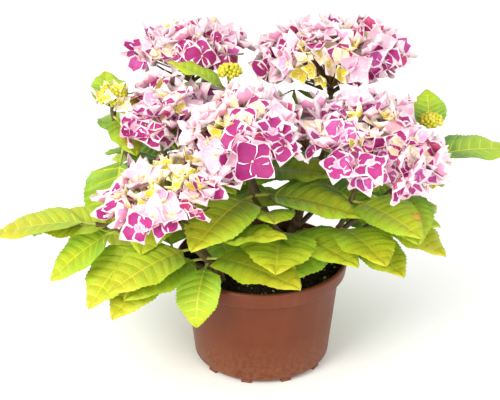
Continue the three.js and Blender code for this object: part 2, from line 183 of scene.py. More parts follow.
def tube(path, radii, sides, relief=None):
    """A closed round limb along a path. relief(k, i) swells a ring's corner."""
    path = np.asarray(path, dtype=float)
    side, points = np.array([1.0, 0.0, 0.0]), []
    for k, centre in enumerate(path):
        along = unit(path[min(k + 1, len(path) - 1)] - path[max(k - 1, 0)])
        side = unit(side - along * np.dot(along, side))
        other = np.cross(along, side)
        for i in range(sides):
            turn = 2 * math.pi * i / sides
            reach = radii[k] + (relief(k, i) if relief else 0)
            points.append(centre + reach * (side * math.cos(turn) + other * math.sin(turn)))
    faces, last = ring_walls(len(path), sides), (len(path) - 1) * sides
    faces += [tuple(range(sides))[::-1], tuple(range(last, last + sides))]
    return points, faces, [0] * len(faces)


def bezier(a, b, c, d, share):
    s = np.asarray(share, dtype=float).reshape(-1, 1)
    return a * (1 - s) ** 3 + 3 * b * s * (1 - s) ** 2 + 3 * c * s * s * (1 - s) + d * s**3


# %% [markdown]
# ## Node trees made in code
# A node tree is a small program, so a thin wrapper keeps it readable: `add` makes a node, feeds
# its inputs with numbers or with other nodes' outputs, and gives the node back. The other
# methods make the nodes that come up again and again. The same wrapper serves geometry trees,
# shader groups and materials.

# %% Node tree tools
SOCKET_TYPES = {float: "Float", int: "Int"}
RANDOM_SOCKETS = {"FLOAT": (2, 3, 1), "INT": (4, 5, 2), "FLOAT_VECTOR": (0, 1, 0)}


class Tree:
    def __init__(self, nodes, group=None):
        self.nodes, self.group = nodes, group

    def feed(self, socket, value):
        if isinstance(value, bpy.types.NodeSocket):
            self.nodes.links.new(value, socket)
        elif value is not None:
            socket.default_value = value

    def add(self, kind, feeds=None, **settings):
        node = self.nodes.nodes.new(kind)
        for name, value in settings.items():
            setattr(node, name, value)
        for key, value in (feeds or {}).items():
            self.feed(node.inputs[key], value)
        return node

    def first(self, kind, feeds=None, **settings):
        """The first output of a new node."""
        return self.add(kind, feeds, **settings).outputs[0]

    def math(self, operation, a, b=0.0):
        return self.first("ShaderNodeMath", {0: a, 1: b}, operation=operation)

    def vector(self, operation, a, b=(0, 0, 0)):
        node = self.add("ShaderNodeVectorMath", {0: a, 1: b}, operation=operation)
        return node.outputs["Value" if operation in ("LENGTH", "DOT_PRODUCT") else "Vector"]

    def xyz(self, x=0.0, y=0.0, z=0.0):
        return self.first("ShaderNodeCombineXYZ", {0: x, 1: y, 2: z})

    def noise(self, place, scale, detail, **more):
        feeds = dict(Vector=place, Scale=scale, Detail=detail, **more)
        return self.add("ShaderNodeTexNoise", feeds).outputs["Fac"]

    def own_place(self):
        """The object's own coordinates, for a shader."""
        return self.add("ShaderNodeTexCoord").outputs["Object"]

    def mesh_of(self, thing):
        return self.add("GeometryNodeObjectInfo", {"Object": thing}).outputs["Geometry"]

    def members(self, collection):
        return self.first("GeometryNodeCollectionInfo", {
            "Collection": collection, "Separate Children": True, "Reset Children": True})

    def ranged(self, value, low, high, to_low=0.0, to_high=1.0):
        """A value carried from one range to another."""
        return self.first("ShaderNodeMapRange", {"Value": value, "From Min": low, "From Max": high,
                                                 "To Min": to_low, "To Max": to_high})

    def blend(self, share, a, b):
        """A colour between two."""
        return self.add("ShaderNodeMix", {0: share, 6: a, 7: b}, data_type="RGBA").outputs[2]

    def random(self, kind, low, high, seed):
        at_low, at_high, out = RANDOM_SOCKETS[kind]
        return self.add("FunctionNodeRandomValue", {at_low: low, at_high: high, "Seed": seed},
                        data_type=kind).outputs[out]

    def named(self, name, kind="FLOAT"):
        return self.first("GeometryNodeInputNamedAttribute", {"Name": name}, data_type=kind)

    def stored(self, geometry, name, value, kind="FLOAT", **settings):
        return self.first("GeometryNodeStoreNamedAttribute", {
            "Geometry": geometry, "Name": name, "Value": value}, data_type=kind, **settings)

    def aimed(self, along):
        """A rotation that carries +Z to a direction."""
        return self.first("FunctionNodeAlignRotationToVector", {"Vector": along}, axis="Z")

    def realized(self, instances):
        return self.first("GeometryNodeRealizeInstances", {0: instances})

    def coated(self, geometry, material, where=None):
        return self.first("GeometryNodeSetMaterial", {
            "Geometry": geometry, "Material": material, "Selection": where})

    def shade(self, feeds):
        """Feeds the material's own shader."""
        for key, value in feeds.items():
            self.feed(self.nodes.nodes["Principled BSDF"].inputs[key], value)

    def done(self, **results):
        """Feeds the group's outputs and gives the group."""
        for label, value in results.items():
            self.feed(self.result[label], value)
        return self.group


def group_tree(name, kind, inputs, outputs=None):
    """An empty node group. An input has a default, or a socket type's name where it needs none."""
    group = bpy.data.node_groups.new(name, kind + "NodeTree")
    for label, default in inputs.items():
        if isinstance(default, str):
            group.interface.new_socket(label, in_out="INPUT", socket_type="NodeSocket" + default)
            continue
        socket = SOCKET_TYPES.get(type(default)) or ("Vector" if len(default) == 3 else "Color")
        made = group.interface.new_socket(label, in_out="INPUT", socket_type="NodeSocket" + socket)
        made.default_value = default
    for label, socket in (outputs or {"Geometry": "Geometry"}).items():
        group.interface.new_socket(label, in_out="OUTPUT", socket_type="NodeSocket" + socket)
    tree = Tree(group, group)
    tree.given = tree.add("NodeGroupInput").outputs
    tree.result = tree.add("NodeGroupOutput").inputs
    return tree


# %% [markdown]
# ## Shared shader groups
# Nothing that grows is one flat colour. `mottle` blends a finish between two near colours with
# cloudy noise in the object's own coordinates, and gives the cloud as a mask. `pores` gives a
# height for a Bump node: fine cells over soft noise, for leaf skin, peat, bark or plastic.

# %% Shader groups
GREY = (0.5, 0.5, 0.5, 1.0)


def colour(red, green, blue):
    """An sRGB colour in 0 to 255 as the linear colour that a shader wants."""
    parts = [c / 255 for c in (red, green, blue)]
    return tuple(c / 12.92 if c <= 0.04045 else ((c + 0.055) / 1.055) ** 2.4 for c in parts) + (1.0,)


def mottle_group():
    tree = group_tree("mottle", "Shader", dict(Base=GREY, Tint=GREY, Scale=60.0, Low=0.4, High=0.65),
                      dict(Color="Color", Mask="Float"))
    cloud = tree.noise(tree.own_place(), tree.given["Scale"], 4.0, Roughness=0.6)
    mask = tree.ranged(cloud, tree.given["Low"], tree.given["High"])
    return tree.done(Color=tree.blend(mask, tree.given["Base"], tree.given["Tint"]), Mask=mask)


def pores_group():
    tree = group_tree("pores", "Shader", dict(Cells=400.0, Cloud=120.0, Share=0.5),
                      dict(Height="Float"))
    place = tree.own_place()
    cells = tree.add("ShaderNodeTexVoronoi", {"Vector": place, "Scale": tree.given["Cells"]})
    cloud = tree.noise(place, tree.given["Cloud"], 5.0)
    return tree.done(Height=tree.first("ShaderNodeMix", {
        0: tree.given["Share"], 2: cloud, 3: cells.outputs["Distance"]}, data_type="FLOAT"))


MOTTLE, PORES = mottle_group(), pores_group()
print("shader groups:", MOTTLE.name, PORES.name)


# %% [markdown]
# ## One finish for each tissue
# `finish` makes a material: a Principled shader whose colour comes from `mottle`, whose
# roughness follows the same cloud, and whose normal comes from a Bump node over `pores`.

# %% Material maker
SMOOTHER, ROUGHER = 0.06, 0.08  # how far the clouds change a finish's roughness


def finish(name, base, tint, rough=0.5, scale=60, low=0.4, high=0.65, cells=400, cloud=120,
           share=0.5, bump=0.2, depth=0.0004, specular=0.5):
    """A material from two sRGB colours, the clouds between them and the pores' relief."""
    made = bpy.data.materials.new(name)
    made.use_nodes = True
    made.diffuse_color = colour(*base)
    tree = Tree(made.node_tree)
    clouds = dict(Base=colour(*base), Tint=colour(*tint), Scale=scale, Low=low, High=high)
    patch = tree.add("ShaderNodeGroup", clouds, node_tree=MOTTLE).outputs
    skin = tree.first("ShaderNodeGroup", dict(Cells=cells, Cloud=cloud, Share=share), node_tree=PORES)
    rise = tree.add("ShaderNodeBump", dict(Height=skin, Strength=bump, Distance=depth))
    tree.shade({"Base Color": patch["Color"], "Normal": rise.outputs["Normal"],
                "Roughness": tree.ranged(patch["Mask"], 0, 1, rough - SMOOTHER, rough + ROUGHER),
                "Specular IOR Level": specular})
    return made


# %% [markdown]
# ## Pot
# A nursery pot is thin injection-moulded plastic: a tapered wall, a deep outward lip that
# stacks on the next pot, small feet and drain holes. A turned profile gives the wall, with
# rounded corners; the feet repeat, so a Geometry Nodes tree sets them on a circle.

# %% Pot sizes and profile
POT = dict(rim=85.0, height=110.0, lip=17.0, lip_foot=82.5, shoulder=76.5, base=66.5, wall=2.0,
           foot=2.5, feet=10, hub=14.0, drains=5, drain=5.0, drain_circle=40.0)
SOIL_LEVEL = POT["height"] - 8


def wall_radius(height):
    share = (height - POT["foot"]) / (POT["height"] - POT["lip"] - POT["foot"])
    return mix(POT["base"], POT["shoulder"], share)


def rounded(corners, reach=1.0, steps=4):
    """A profile with each inner corner rounded off by a small arc."""
    path = [corners[0]]
    for before, here, after in zip(corners, corners[1:], corners[2:]):
        before, here, after = (np.array(p, dtype=float) for p in (before, here, after))
        cut = min(reach, 0.45 * np.linalg.norm(before - here), 0.45 * np.linalg.norm(after - here))
        start, end = here + unit(before - here) * cut, here + unit(after - here) * cut
        for i in range(steps + 1):
            s = i / steps
            path.append(tuple(start * (1 - s) ** 2 + 2 * here * s * (1 - s) + end * s * s))
    return path + [corners[-1]]


shoulder, top = POT["height"] - POT["lip"], POT["height"]
outer = [(0, POT["foot"]), (POT["base"] - 3.3, POT["foot"]), (wall_radius(6.9), 6.9),
         (wall_radius(shoulder), shoulder), (POT["lip_foot"], shoulder + 0.8), (POT["rim"], top - 2),
         (POT["rim"] - 1.4, top)]
wall, inside = POT["wall"], POT["foot"] + POT["wall"]
inner = [(POT["rim"] - 2 * wall, top), (POT["lip_foot"] - 2 * wall, shoulder + 5),
         (wall_radius(shoulder) - wall, shoulder - wall), (wall_radius(inside) - wall, inside),
         (0, inside)]
profile = rounded(outer + inner, 1.6)
print("pot profile points:", len(profile))


# %% Turned wall
def turned_body(name, profile, segments):
    """A body of revolution about the vertical. Its first and last points lie on the axis."""
    rings = profile[1:-1]
    points = [(0, 0, profile[0][1])]
    for radius, height in rings:
        for i in range(segments):
            turn = 2 * math.pi * i / segments
            points.append((radius * math.cos(turn), radius * math.sin(turn), height))
    points.append((0, 0, profile[-1][1]))
    faces = [(0, 1 + (i + 1) % segments, 1 + i) for i in range(segments)]
    faces += ring_walls(len(rings), segments, start=1)
    start = 1 + (len(rings) - 1) * segments
    faces += [(len(points) - 1, start + i, start + (i + 1) % segments) for i in range(segments)]
    return build(name, points, faces)


pot = turned_body("pot_body", profile, segments=128)
print("pot wall faces:", len(pot.data.polygons))


# %% [markdown]
# The feet are ten small rounded blocks. The tree below puts an instance of one block on each
# point of a circle, turned to face outwards, then realizes them. Its inputs are named, so the
# same tree also punches out the drain holes' cutters.

# %% Pot plastic
def pot_plastic():
    """Terracotta-coloured plastic with flow streaks up the wall and pale dust about the foot."""
    made = finish("pot_plastic", (94, 40, 13), (104, 48, 18), rough=0.46, scale=14, low=0.35,
                  high=0.7, cells=900, cloud=60, share=0.35, bump=0.12, depth=0.0004, specular=0.3)
    tree = Tree(made.node_tree)
    place = tree.own_place()
    tall = tree.first("ShaderNodeMapping", {"Vector": place, "Scale": (1.0, 1.0, 0.07)})
    flow, grit = tree.noise(tall, 70.0, 3.0), tree.noise(place, 260.0, 6.0)
    height = tree.add("ShaderNodeSeparateXYZ", {0: place}).outputs["Z"]
    near_foot = tree.ranged(height, 0.05, 0.0, 0.0, 0.32)
    dust = tree.math("MULTIPLY", near_foot, tree.ranged(grit, 0.3, 0.75))
    streaked = tree.blend(tree.ranged(flow, 0.5, 0.8, 0.0, 0.22),
                          made.node_tree.nodes["Group"].outputs["Color"], colour(136, 74, 44))
    tree.shade({"Base Color": tree.blend(dust, streaked, colour(166, 122, 90))})
    return made


# %% Ring of repeats
def ring_tree():
    tree = group_tree("ring_of_repeats", "Geometry",
                      dict(Piece="Object", Count=10, Radius=0.06, Start=0.0, Finish="Material"))
    given = tree.given
    circle = tree.first("GeometryNodeMeshCircle", dict(Vertices=given["Count"], Radius=given["Radius"]))
    step = tree.math("DIVIDE", 2 * math.pi, given["Count"])
    turn = tree.math("MULTIPLY", tree.first("GeometryNodeInputIndex"), step)
    placed = tree.first("GeometryNodeInstanceOnPoints", dict(
        Points=circle, Instance=tree.mesh_of(given["Piece"]), Rotation=tree.xyz(z=turn)))
    whole = tree.first("GeometryNodeTransform", dict(
        Geometry=tree.realized(placed), Rotation=tree.xyz(z=given["Start"])))
    return tree.done(Geometry=tree.coated(whole, given["Finish"]))


def settled(thing):
    """Puts an object's evaluated shape in its place as a plain mesh, and takes its modifiers off."""
    depsgraph = bpy.context.evaluated_depsgraph_get()
    mesh = bpy.data.meshes.new_from_object(thing.evaluated_get(depsgraph), depsgraph=depsgraph)
    thing.modifiers.clear()
    thing.data = mesh
    return thing


def run_tree(name, group, **inputs):
    """Evaluates a tree on an empty object and keeps the result as a plain mesh object."""
    host = linked(name, bpy.data.meshes.new(name + "_host"))
    modifier = host.modifiers.new("tree", "NODES")
    modifier.node_group = group
    sockets = {item.name: item.identifier for item in group.interface.items_tree
               if item.item_type == "SOCKET" and item.in_out == "INPUT"}
    for label, value in inputs.items():
        modifier[sockets[label.replace("_", " ")]] = value
    return settled(host)


def joined(name, objects):
    """Several objects made one, with their materials kept."""
    first = objects[0]
    with bpy.context.temp_override(active_object=first, object=first,
                                   selected_objects=objects, selected_editable_objects=objects):
        bpy.ops.object.join()
    first.name = first.data.name = name
    return first


def dropped(*objects):
    for thing in objects:
        bpy.data.objects.remove(thing, do_unlink=True)


pot_finish = pot_plastic()
RING = ring_tree()
block = turned_body("block", rounded([(0, 0), (3.6, 0), (3.6, 3.2), (0, 3.2)], 0.4, 2), 4)
block.data.transform(Matrix.Rotation(math.pi / 4, 4, "Z"))
block.data.transform(Matrix.Diagonal((1.45, 1.95, 1.0, 1.0)))
feet = run_tree("feet", RING, Piece=block, Count=POT["feet"], Radius=(POT["base"] - 6.4) * MM,
                Start=math.radians(4), Finish=pot_finish)
cutter = turned_body("cutter", [(0, -1), (POT["drain"], -1), (POT["drain"], 9), (0, 9)], 24)
holes = run_tree("holes", RING, Piece=cutter, Count=POT["drains"], Radius=POT["drain_circle"] * MM,
                 Start=math.radians(20), Finish=pot_finish)
print("feet faces:", len(feet.data.polygons), "cutter faces:", len(holes.data.polygons))

# %% [markdown]
# A Boolean modifier cuts the drain holes, is applied, and the feet and the flat boss under the
# middle are joined on. A second one would fuse them, but they only sink in by a fraction of a
# millimetre, so joining is enough.

# %% Pot finished
pot.data.materials.append(pot_finish)
cut = pot.modifiers.new("drains", "BOOLEAN")
cut.object, cut.operation, cut.solver = holes, "DIFFERENCE", "EXACT"
settled(pot)
boss = turned_body("boss", rounded([(0, 0), (POT["hub"], 0), (POT["hub"], 3.5), (0, 3.5)], 0.5), 48)
boss.data.materials.append(pot_finish)
pot = joined("pot_moulding", [pot, feet, boss])
dropped(block, cutter, holes)
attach(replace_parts(pot, "pot"), "root")
print("pot triangles:", triangles(pot))

# %% [markdown]
# ## Peat
# Potting peat is dark, lumpy and uneven, with crumbs and a few pale green flecks of moss. The
# body is a turned shape whose top is a fine grid pushed about by noise. The crumbs are
# instances scattered over that top by a Geometry Nodes tree, which deals out the two finishes.

# %% Peat body
soil_finish = finish("peat", (44, 33, 26), (22, 16, 12), rough=0.9, scale=160, cells=700,
                     cloud=300, bump=0.8, depth=0.0012, specular=0.2)
moss_finish = finish("moss", (150, 164, 84), (104, 124, 52), rough=0.85, scale=500)
SOIL_FOOT, SOIL_INSET, TOP_RINGS = 4.8, 2.6, 28
soil_rim = POT["lip_foot"] - 4.8
edge = [(0, SOIL_FOOT), (wall_radius(SOIL_FOOT) - SOIL_INSET, SOIL_FOOT),
        (wall_radius(shoulder) - SOIL_INSET, shoulder - 2.2), (soil_rim, shoulder + 5),
        (soil_rim, SOIL_LEVEL - 1.5)]
top_rings = [(soil_rim * (1 - i / TOP_RINGS) ** 0.9, SOIL_LEVEL) for i in range(1, TOP_RINGS)]
peat = turned_body("peat_body", [*edge, *top_rings, (0, SOIL_LEVEL)], segments=96)
for vertex in peat.data.vertices:
    if vertex.co.z > (SOIL_LEVEL - 1) * MM:
        here = Vector((vertex.co.x, vertex.co.y, 0))
        lumps = noise.noise(here * 60) * 1.6 + noise.noise(here * 210) * 1.3
        vertex.co.z += (lumps - 0.9) * MM
peat.data.materials.append(soil_finish)
print("peat faces:", len(peat.data.polygons))


# %% Crumbs
def crumb(name, radius, seed):
    """A small lump: a round mesh of a few dozen faces, dented by noise."""
    mesh = bmesh.new()
    bmesh.ops.create_icosphere(mesh, subdivisions=1, radius=radius * MM)
    for vertex in mesh.verts:
        dent = noise.noise(vertex.co * 900 + Vector((seed, 0, 0)))
        vertex.co *= 1 + 0.6 * dent
        vertex.co.z *= 0.7
    data = bpy.data.meshes.new(name)
    mesh.to_mesh(data)
    mesh.free()
    return bpy.data.objects.new(name, data)


def litter_tree():
    tree = group_tree("litter", "Geometry", {
        "Ground": "Object", "Kinds": "Collection", "Density": 40000.0, "Level": 0.1, "Pale share": 0.05,
        "Seed": 3, "Dark finish": "Material", "Pale finish": "Material"})
    height = tree.add("ShaderNodeSeparateXYZ", {0: tree.first("GeometryNodeInputPosition")})
    on_top = tree.math("GREATER_THAN", height.outputs["Z"], tree.given["Level"])
    points = tree.first("GeometryNodeDistributePointsOnFaces", {
        "Mesh": tree.mesh_of(tree.given["Ground"]), "Selection": on_top,
        "Density": tree.given["Density"], "Seed": tree.given["Seed"]})
    placed = tree.first("GeometryNodeInstanceOnPoints", {
        "Points": points, "Instance": tree.members(tree.given["Kinds"]), "Pick Instance": True,
        "Rotation": tree.random("FLOAT_VECTOR", (0, 0, 0), (6.3, 6.3, 6.3), 5),
        "Scale": tree.random("FLOAT", 0.45, 1.5, 8)})
    pale = tree.math("LESS_THAN", tree.random("FLOAT", 0.0, 1.0, 11), tree.given["Pale share"])
    real = tree.realized(tree.stored(placed, "pale", pale, domain="INSTANCE"))
    dark = tree.coated(real, tree.given["Dark finish"])
    chosen = tree.math("GREATER_THAN", tree.named("pale"), 0.5)
    return tree.done(Geometry=tree.coated(dark, tree.given["Pale finish"], chosen))


def shelf(name, objects):
    """A collection of sources for a tree to pick from, linked only while the tree runs."""
    kept = bpy.data.collections.new(name)
    bpy.context.scene.collection.children.link(kept)
    for thing in objects:
        if thing.name in bpy.context.scene.collection.objects:
            bpy.context.scene.collection.objects.unlink(thing)
        kept.objects.link(thing)
    return kept


def cleared(collection):
    dropped(*list(collection.objects))
    bpy.data.collections.remove(collection)


lumps = shelf("crumbs", [crumb(f"crumb_{i}", 1.5, i * 7.3) for i in range(4)])
litter = run_tree("litter", litter_tree(), Ground=peat, Kinds=lumps, Density=90000.0,
                  Level=(SOIL_LEVEL - 4) * MM, Pale_share=0.09, Seed=4,
                  Dark_finish=soil_finish, Pale_finish=moss_finish)
cleared(lumps)
peat = joined("peat", [peat, litter])
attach(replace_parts(peat, "soil"), "root")
print("peat triangles:", triangles(peat))

# %% [markdown]
# ## Canes
# The old wood stands on the peat, flared at its foot and pruned flat at its tip. Each cane is
# one tapering limb with many rings, and its bark is real relief: long ridges, with a knuckle
# where leaves once sat. A pale disc of wood shows at the cut.

# %% Canes
CANES = {
    "left": ((-42, -38), (-49, -49, 124)),
    "centre": ((20, -10), (26, -14, 138)),
    "right": ((60, 2), (73, -4, 138)),
    "back_left": ((-38, 34), (-54, 42, 140)),
    "back_right": ((30, 44), (42, 56, 140)),
}
FOOT_RADIUS, TIP_RADIUS, FLARE, FLARE_HEIGHT, CANE_SIDES = 5.2, 4.2, 1.55, 7, 24
bark = finish("bark", (112, 86, 58), (66, 48, 32), rough=0.82, scale=220, cells=500,
              cloud=260, bump=0.6, depth=0.001, specular=0.25)
cut_wood = finish("cut_wood", (196, 172, 122), (150, 122, 82), rough=0.7, scale=500)


def cane_line(name):
    """A cane's foot on the peat, the top of its flare, and its cut tip."""
    foot, tip = CANES[name]
    ground = np.array([foot[0], foot[1], SOIL_LEVEL + 0.3], dtype=float)
    return ground, ground + UP * FLARE_HEIGHT, np.array(tip, dtype=float)


def cane_shape(name, seed):
    ground, neck, tip = cane_line(name)
    rise = np.linspace(0, 1, 27)
    flared = 5
    path = [mix(ground, neck, k / flared) for k in range(flared)]
    path += [mix(neck, tip, s) for s in rise]
    radii = [FOOT_RADIUS * mix(FLARE, 1, (k / flared) ** 0.6) for k in range(flared)]
    radii += [mix(FOOT_RADIUS, TIP_RADIUS, s) for s in rise]
    path.append(path[-1] + UP * 0.3)
    radii.append(TIP_RADIUS * 0.8)
    path[0] = path[0] - UP * 1.2

    def ridges(k, i):
        turn = 2 * math.pi * i / CANE_SIDES
        here = Vector((math.cos(turn) * 1.6, math.sin(turn) * 1.6, k * 0.16 + seed))
        knuckle = 0.5 * math.exp(-(((k - 17) / 1.6) ** 2))
        return 0.55 * noise.noise(here) + 0.25 * noise.noise(here * 3.1) + knuckle

    points, faces, zones = tube(path, radii, CANE_SIDES, ridges)
    zones[-1] = 1
    return points, faces, zones


canes = Batch()
for order, name in enumerate(CANES):
    canes.add(*cane_shape(name, 10.0 * order))
wood = canes.build("canes", [bark, cut_wood])
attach(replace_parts(wood, *["cane_" + name for name in CANES]), "root")
print("cane faces:", len(wood.data.polygons))

# %% [markdown]
# ## Heads, buds and shoots: the plan
# These are the source's own numbers. A head has the centre of its widest ring, its lean
# (compass, degrees from upright), radius, height and how far its florets hang below the ring.
# A shoot has its cane, how far below the cut it leaves, what it carries, and its leaf pairs:
# share of the way along, direction faced, spread, rise, slant, length, and a bend if unusual.

# %% Plan
HEADS = {
    "top_left": dict(at=(-72, 118, 272), lean=(110, 12), wide=62, high=39, skirt=94),
    "top_right": dict(at=(68, 88, 277), lean=(100, 10), wide=79, high=47, skirt=105),
    "mid_left": dict(at=(-100, 26, 245), lean=(190, 8), wide=55, high=38, skirt=105),
    "centre": dict(at=(-16, -37, 248), lean=(250, 8), wide=58, high=46, skirt=105),
    "right": dict(at=(102, -28, 236), lean=(335, 18), wide=70, high=52, skirt=105),
    "front_left": dict(at=(-84, -78, 208), lean=(195, 20), wide=70, high=29, skirt=88),
    "back_left": dict(at=(-58, 172, 176), lean=(105, 30), wide=54, high=38, skirt=105),
    "back_right": dict(at=(52, 172, 168), lean=(72, 30), wide=56, high=38, skirt=105),
}
BUDS = {
    "left": ((-144, 34, 262), 16),
    "middle": ((-31, 42, 285), 12.5),
    "right": ((162, 18, 244), 12),
}
SHOOTS = {
    "front_left": dict(cane="left", below=8, head="front_left", pairs=[
        (0.34, 274, 58, 6, -4, 86), (0.22, 190, 62, -6, 10, 64, 80), (0.66, 277, 62, 16, -14, 84)]),
    "centre": dict(cane="centre", below=8, head="centre", pairs=[
        (0.15, 292, 28, 6, 0, 84), (0.45, 195, 84, 12, -4, 70), (0.72, 285, 62, 4, -4, 90)]),
    "right": dict(cane="right", below=8, head="right", pairs=[
        (0.2, 262, 38, 0, 0, 78), (0.45, 275, 75, 4, 0, 84), (0.7, 35, 86, 4, 4, 78)]),
    "mid_left": dict(cane="back_left", below=8, head="mid_left", pairs=[
        (0.3, 215, 62, 0, 0, 78), (0.62, 130, 75, 6, 0, 78), (0.82, 238, 76, 4, 0, 82)]),
    "top_right": dict(cane="back_right", below=8, head="top_right", pairs=[
        (0.22, 35, 84, 0, 0, 84), (0.5, 305, 86, 4, 0, 78), (0.76, 30, 84, 6, 0, 84),
        (0.97, 92, 88, 6, 2, 72)]),
    "top_left": dict(cane="back_left", below=15, head="top_left", pairs=[
        (0.3, 150, 80, 0, 0, 82), (0.58, 75, 84, 4, 0, 86), (0.85, 165, 84, 6, 0, 78)]),
    "left_low": dict(cane="left", below=16, leave=15, tip=(-156, -60, 172), pairs=[
        (0.4, 146, 84, 2, -4, 76), (0.64, 172, 52, -4, 6, 72), (0.84, 192, 12, -8, 16, 74),
        (1, 147, 35, 1, -7, 86)]),
    "right_low": dict(cane="right", below=32, leave=20, tip=(118, -2, 148), pairs=[
        (0.5, 262, 44, 2, 0, 72), (0.96, 2, 40, 0, 0, 70)]),
    "left_bud": dict(cane="left", below=8, bud="left", early=True, pairs=[
        (0.45, 190, 70, 0, 0, 80), (0.78, 170, 86, -20, 34, 84, 40), (0.97, 20, 80, 10, -24, 50)]),
    "middle_bud": dict(cane="centre", below=20, bud="middle", pairs=[
        (0.5, 60, 84, 4, 0, 74), (0.95, 258, 80, 10, 5, 60)]),
    "right_bud": dict(cane="right", below=20, bud="right", early=True, pairs=[
        (0.5, 345, 62, 0, 0, 78), (0.8, 95, 88, 8, 0, 84), (0.98, 0, 90, 20, -46, 50)]),
    "back_left": dict(cane="back_left", below=25, leave=35, head="back_left", pairs=[
        (0.4, 120, 76, -4, 0, 84), (0.85, 105, 82, -8, 0, 86)]),
    "back_right": dict(cane="back_right", below=20, head="back_right", pairs=[
        (0.4, 60, 76, -4, 0, 84), (0.85, 80, 82, -8, 0, 86)]),
    "back_side": dict(cane="back_right", below=30, leave=20, tip=(104, 100, 160), pairs=[
        (0.45, 30, 60, -8, 0, 76), (0.75, 50, 66, -2, 0, 76), (1, 48, 40, 8, 0, 74)]),
    "left_side": dict(cane="back_left", below=33, leave=12, tip=(-108, 86, 158), pairs=[
        (0.45, 140, 62, -8, 0, 78), (0.75, 130, 66, -2, 0, 74), (1, 125, 40, 8, 0, 70)]),
}
HUB_DEPTH, STALK, BUD_STALK, NECK = 0.3, 14, 9, 4


def head_frame(head):
    """A head's axis, the centre of its widest ring, the hub of its rays and its stalk's foot."""
    axis = heading(head["lean"][0], 90 - head["lean"][1])
    centre = np.array(head["at"], dtype=float)
    hub = centre - axis * HUB_DEPTH * head["wide"]
    return axis, centre, hub, hub - axis * STALK


def shoot_line(shoot):
    """The four handles of a shoot's curve, and its end beyond the short straight neck."""
    _, neck, tip = cane_line(shoot["cane"])
    start = tip - unit(tip - neck) * shoot["below"]
    if "head" in shoot:
        axis, _, _, foot = head_frame(HEADS[shoot["head"]])
        end = foot - axis * 0.3
    elif "bud" in shoot:
        axis = UP
        end = np.array(BUDS[shoot["bud"]][0], dtype=float) - UP * (BUD_STALK + 0.3)
    else:
        end = np.array(shoot["tip"], dtype=float)
        axis = unit(np.array([*(end - start)[:2], 20.0]))
    neck = end - axis * NECK
    reach = np.linalg.norm(neck - start)
    flat = unit(np.array([*(end - start)[:2], 0.0]))
    leave = math.radians(shoot.get("leave", 55))
    out = flat * math.cos(leave) + UP * math.sin(leave)
    return start, start + out * 0.3 * reach, neck - axis * 0.34 * reach, neck, end


print("heads:", len(HEADS), "bud clusters:", len(BUDS), "shoots:", len(SHOOTS),
      "leaves planned:", sum(2 * len(shoot["pairs"]) for shoot in SHOOTS.values()))

# %% [markdown]
# ## Stems
# Each green shoot leaves a cane under its cut, bends outwards and ends under a head, a bud
# cluster or its top pair of leaves. A fine tube follows the same curve as the solid shoot,
# with a swollen joint at every leaf pair, which is what makes a hydrangea stem look jointed.

# %% Stems
SHOOT_FOOT, SHOOT_TIP = 3.0, 2.3
stem_skin = finish("stem_skin", (92, 78, 42), (70, 44, 30), rough=0.5, scale=130,
                   low=0.42, high=0.7, cells=900, cloud=200, bump=0.25, depth=0.0005)
stem_curves = {}


def stem_shape(shoot):
    a, b, c, d, end = shoot_line(shoot)
    path = np.vstack([bezier(a, b, c, d, np.linspace(0, 1, 40)), end])
    radii = np.linspace(SHOOT_FOOT, SHOOT_TIP, len(path))
    for pair in shoot["pairs"]:
        radii = radii + 0.9 * np.exp(-(((np.linspace(0, 1, len(path)) - pair[0]) / 0.022) ** 2))
    return tube(path, radii, 10)


stems = Batch()
for name, shoot in SHOOTS.items():
    stem_curves[name] = shoot_line(shoot)
    stems.add(*stem_shape(shoot))
print("stems:", len(stem_curves), "faces:", len(stems.faces))

# %% [markdown]
# ## Where each leaf goes
# Leaves stand in opposite pairs. The seeded rule below is the source's own, with the same
# draws in the same order, so a leaf here has the same petiole and midrib as the solid leaf.
# The source turned a leaf a little where it would have touched something. The turn it took
# is the one whose tip meets a corner of the solid shoot, so that corner is looked up.

# %% Leaf places
PETIOLE, BEND, FOLD = 0.17, 24, 12
BLADE_SHARES = (0.13, 0.42, 0.76, 1.0)
LEAF_TURNS = [(0, 0), (9, 0), (-9, 0), (0, 13), (0, -13), (17, 8), (-17, -8), (12, -22),
              (-12, 22), (24, 0), (-24, 0), (8, 34), (-8, -34)]


def leaf_tip(root, leaf):
    """Where the source's four straight steps of the midrib end."""
    place = root + heading(leaf["compass"], leaf["rise"] + 8) * PETIOLE * leaf["length"]
    reached = 0.0
    for share in BLADE_SHARES:
        along = heading(leaf["compass"], leaf["rise"] - leaf["bend"] * (share + reached) / 2)
        place = place + along * (share - reached) * leaf["length"]
        reached = share
    return place


def taken(root, wanted, corners):
    """The turn and length that the solid leaf has, or None where it has no such leaf."""
    for share in (1, 0.82):
        for rise, compass in LEAF_TURNS:
            tried = dict(wanted, compass=wanted["compass"] + compass, rise=wanted["rise"] + rise,
                         length=wanted["length"] * share)
            if np.min(np.linalg.norm(corners - leaf_tip(root, tried), axis=1)) < 0.05:
                return tried
    return None


def corners_of(node):
    """A solid's corners in millimetres."""
    mesh = frame["nodes"][node].data
    flat = np.empty(3 * len(mesh.vertices))
    mesh.vertices.foreach_get("co", flat)
    return flat.reshape(-1, 3) / MM


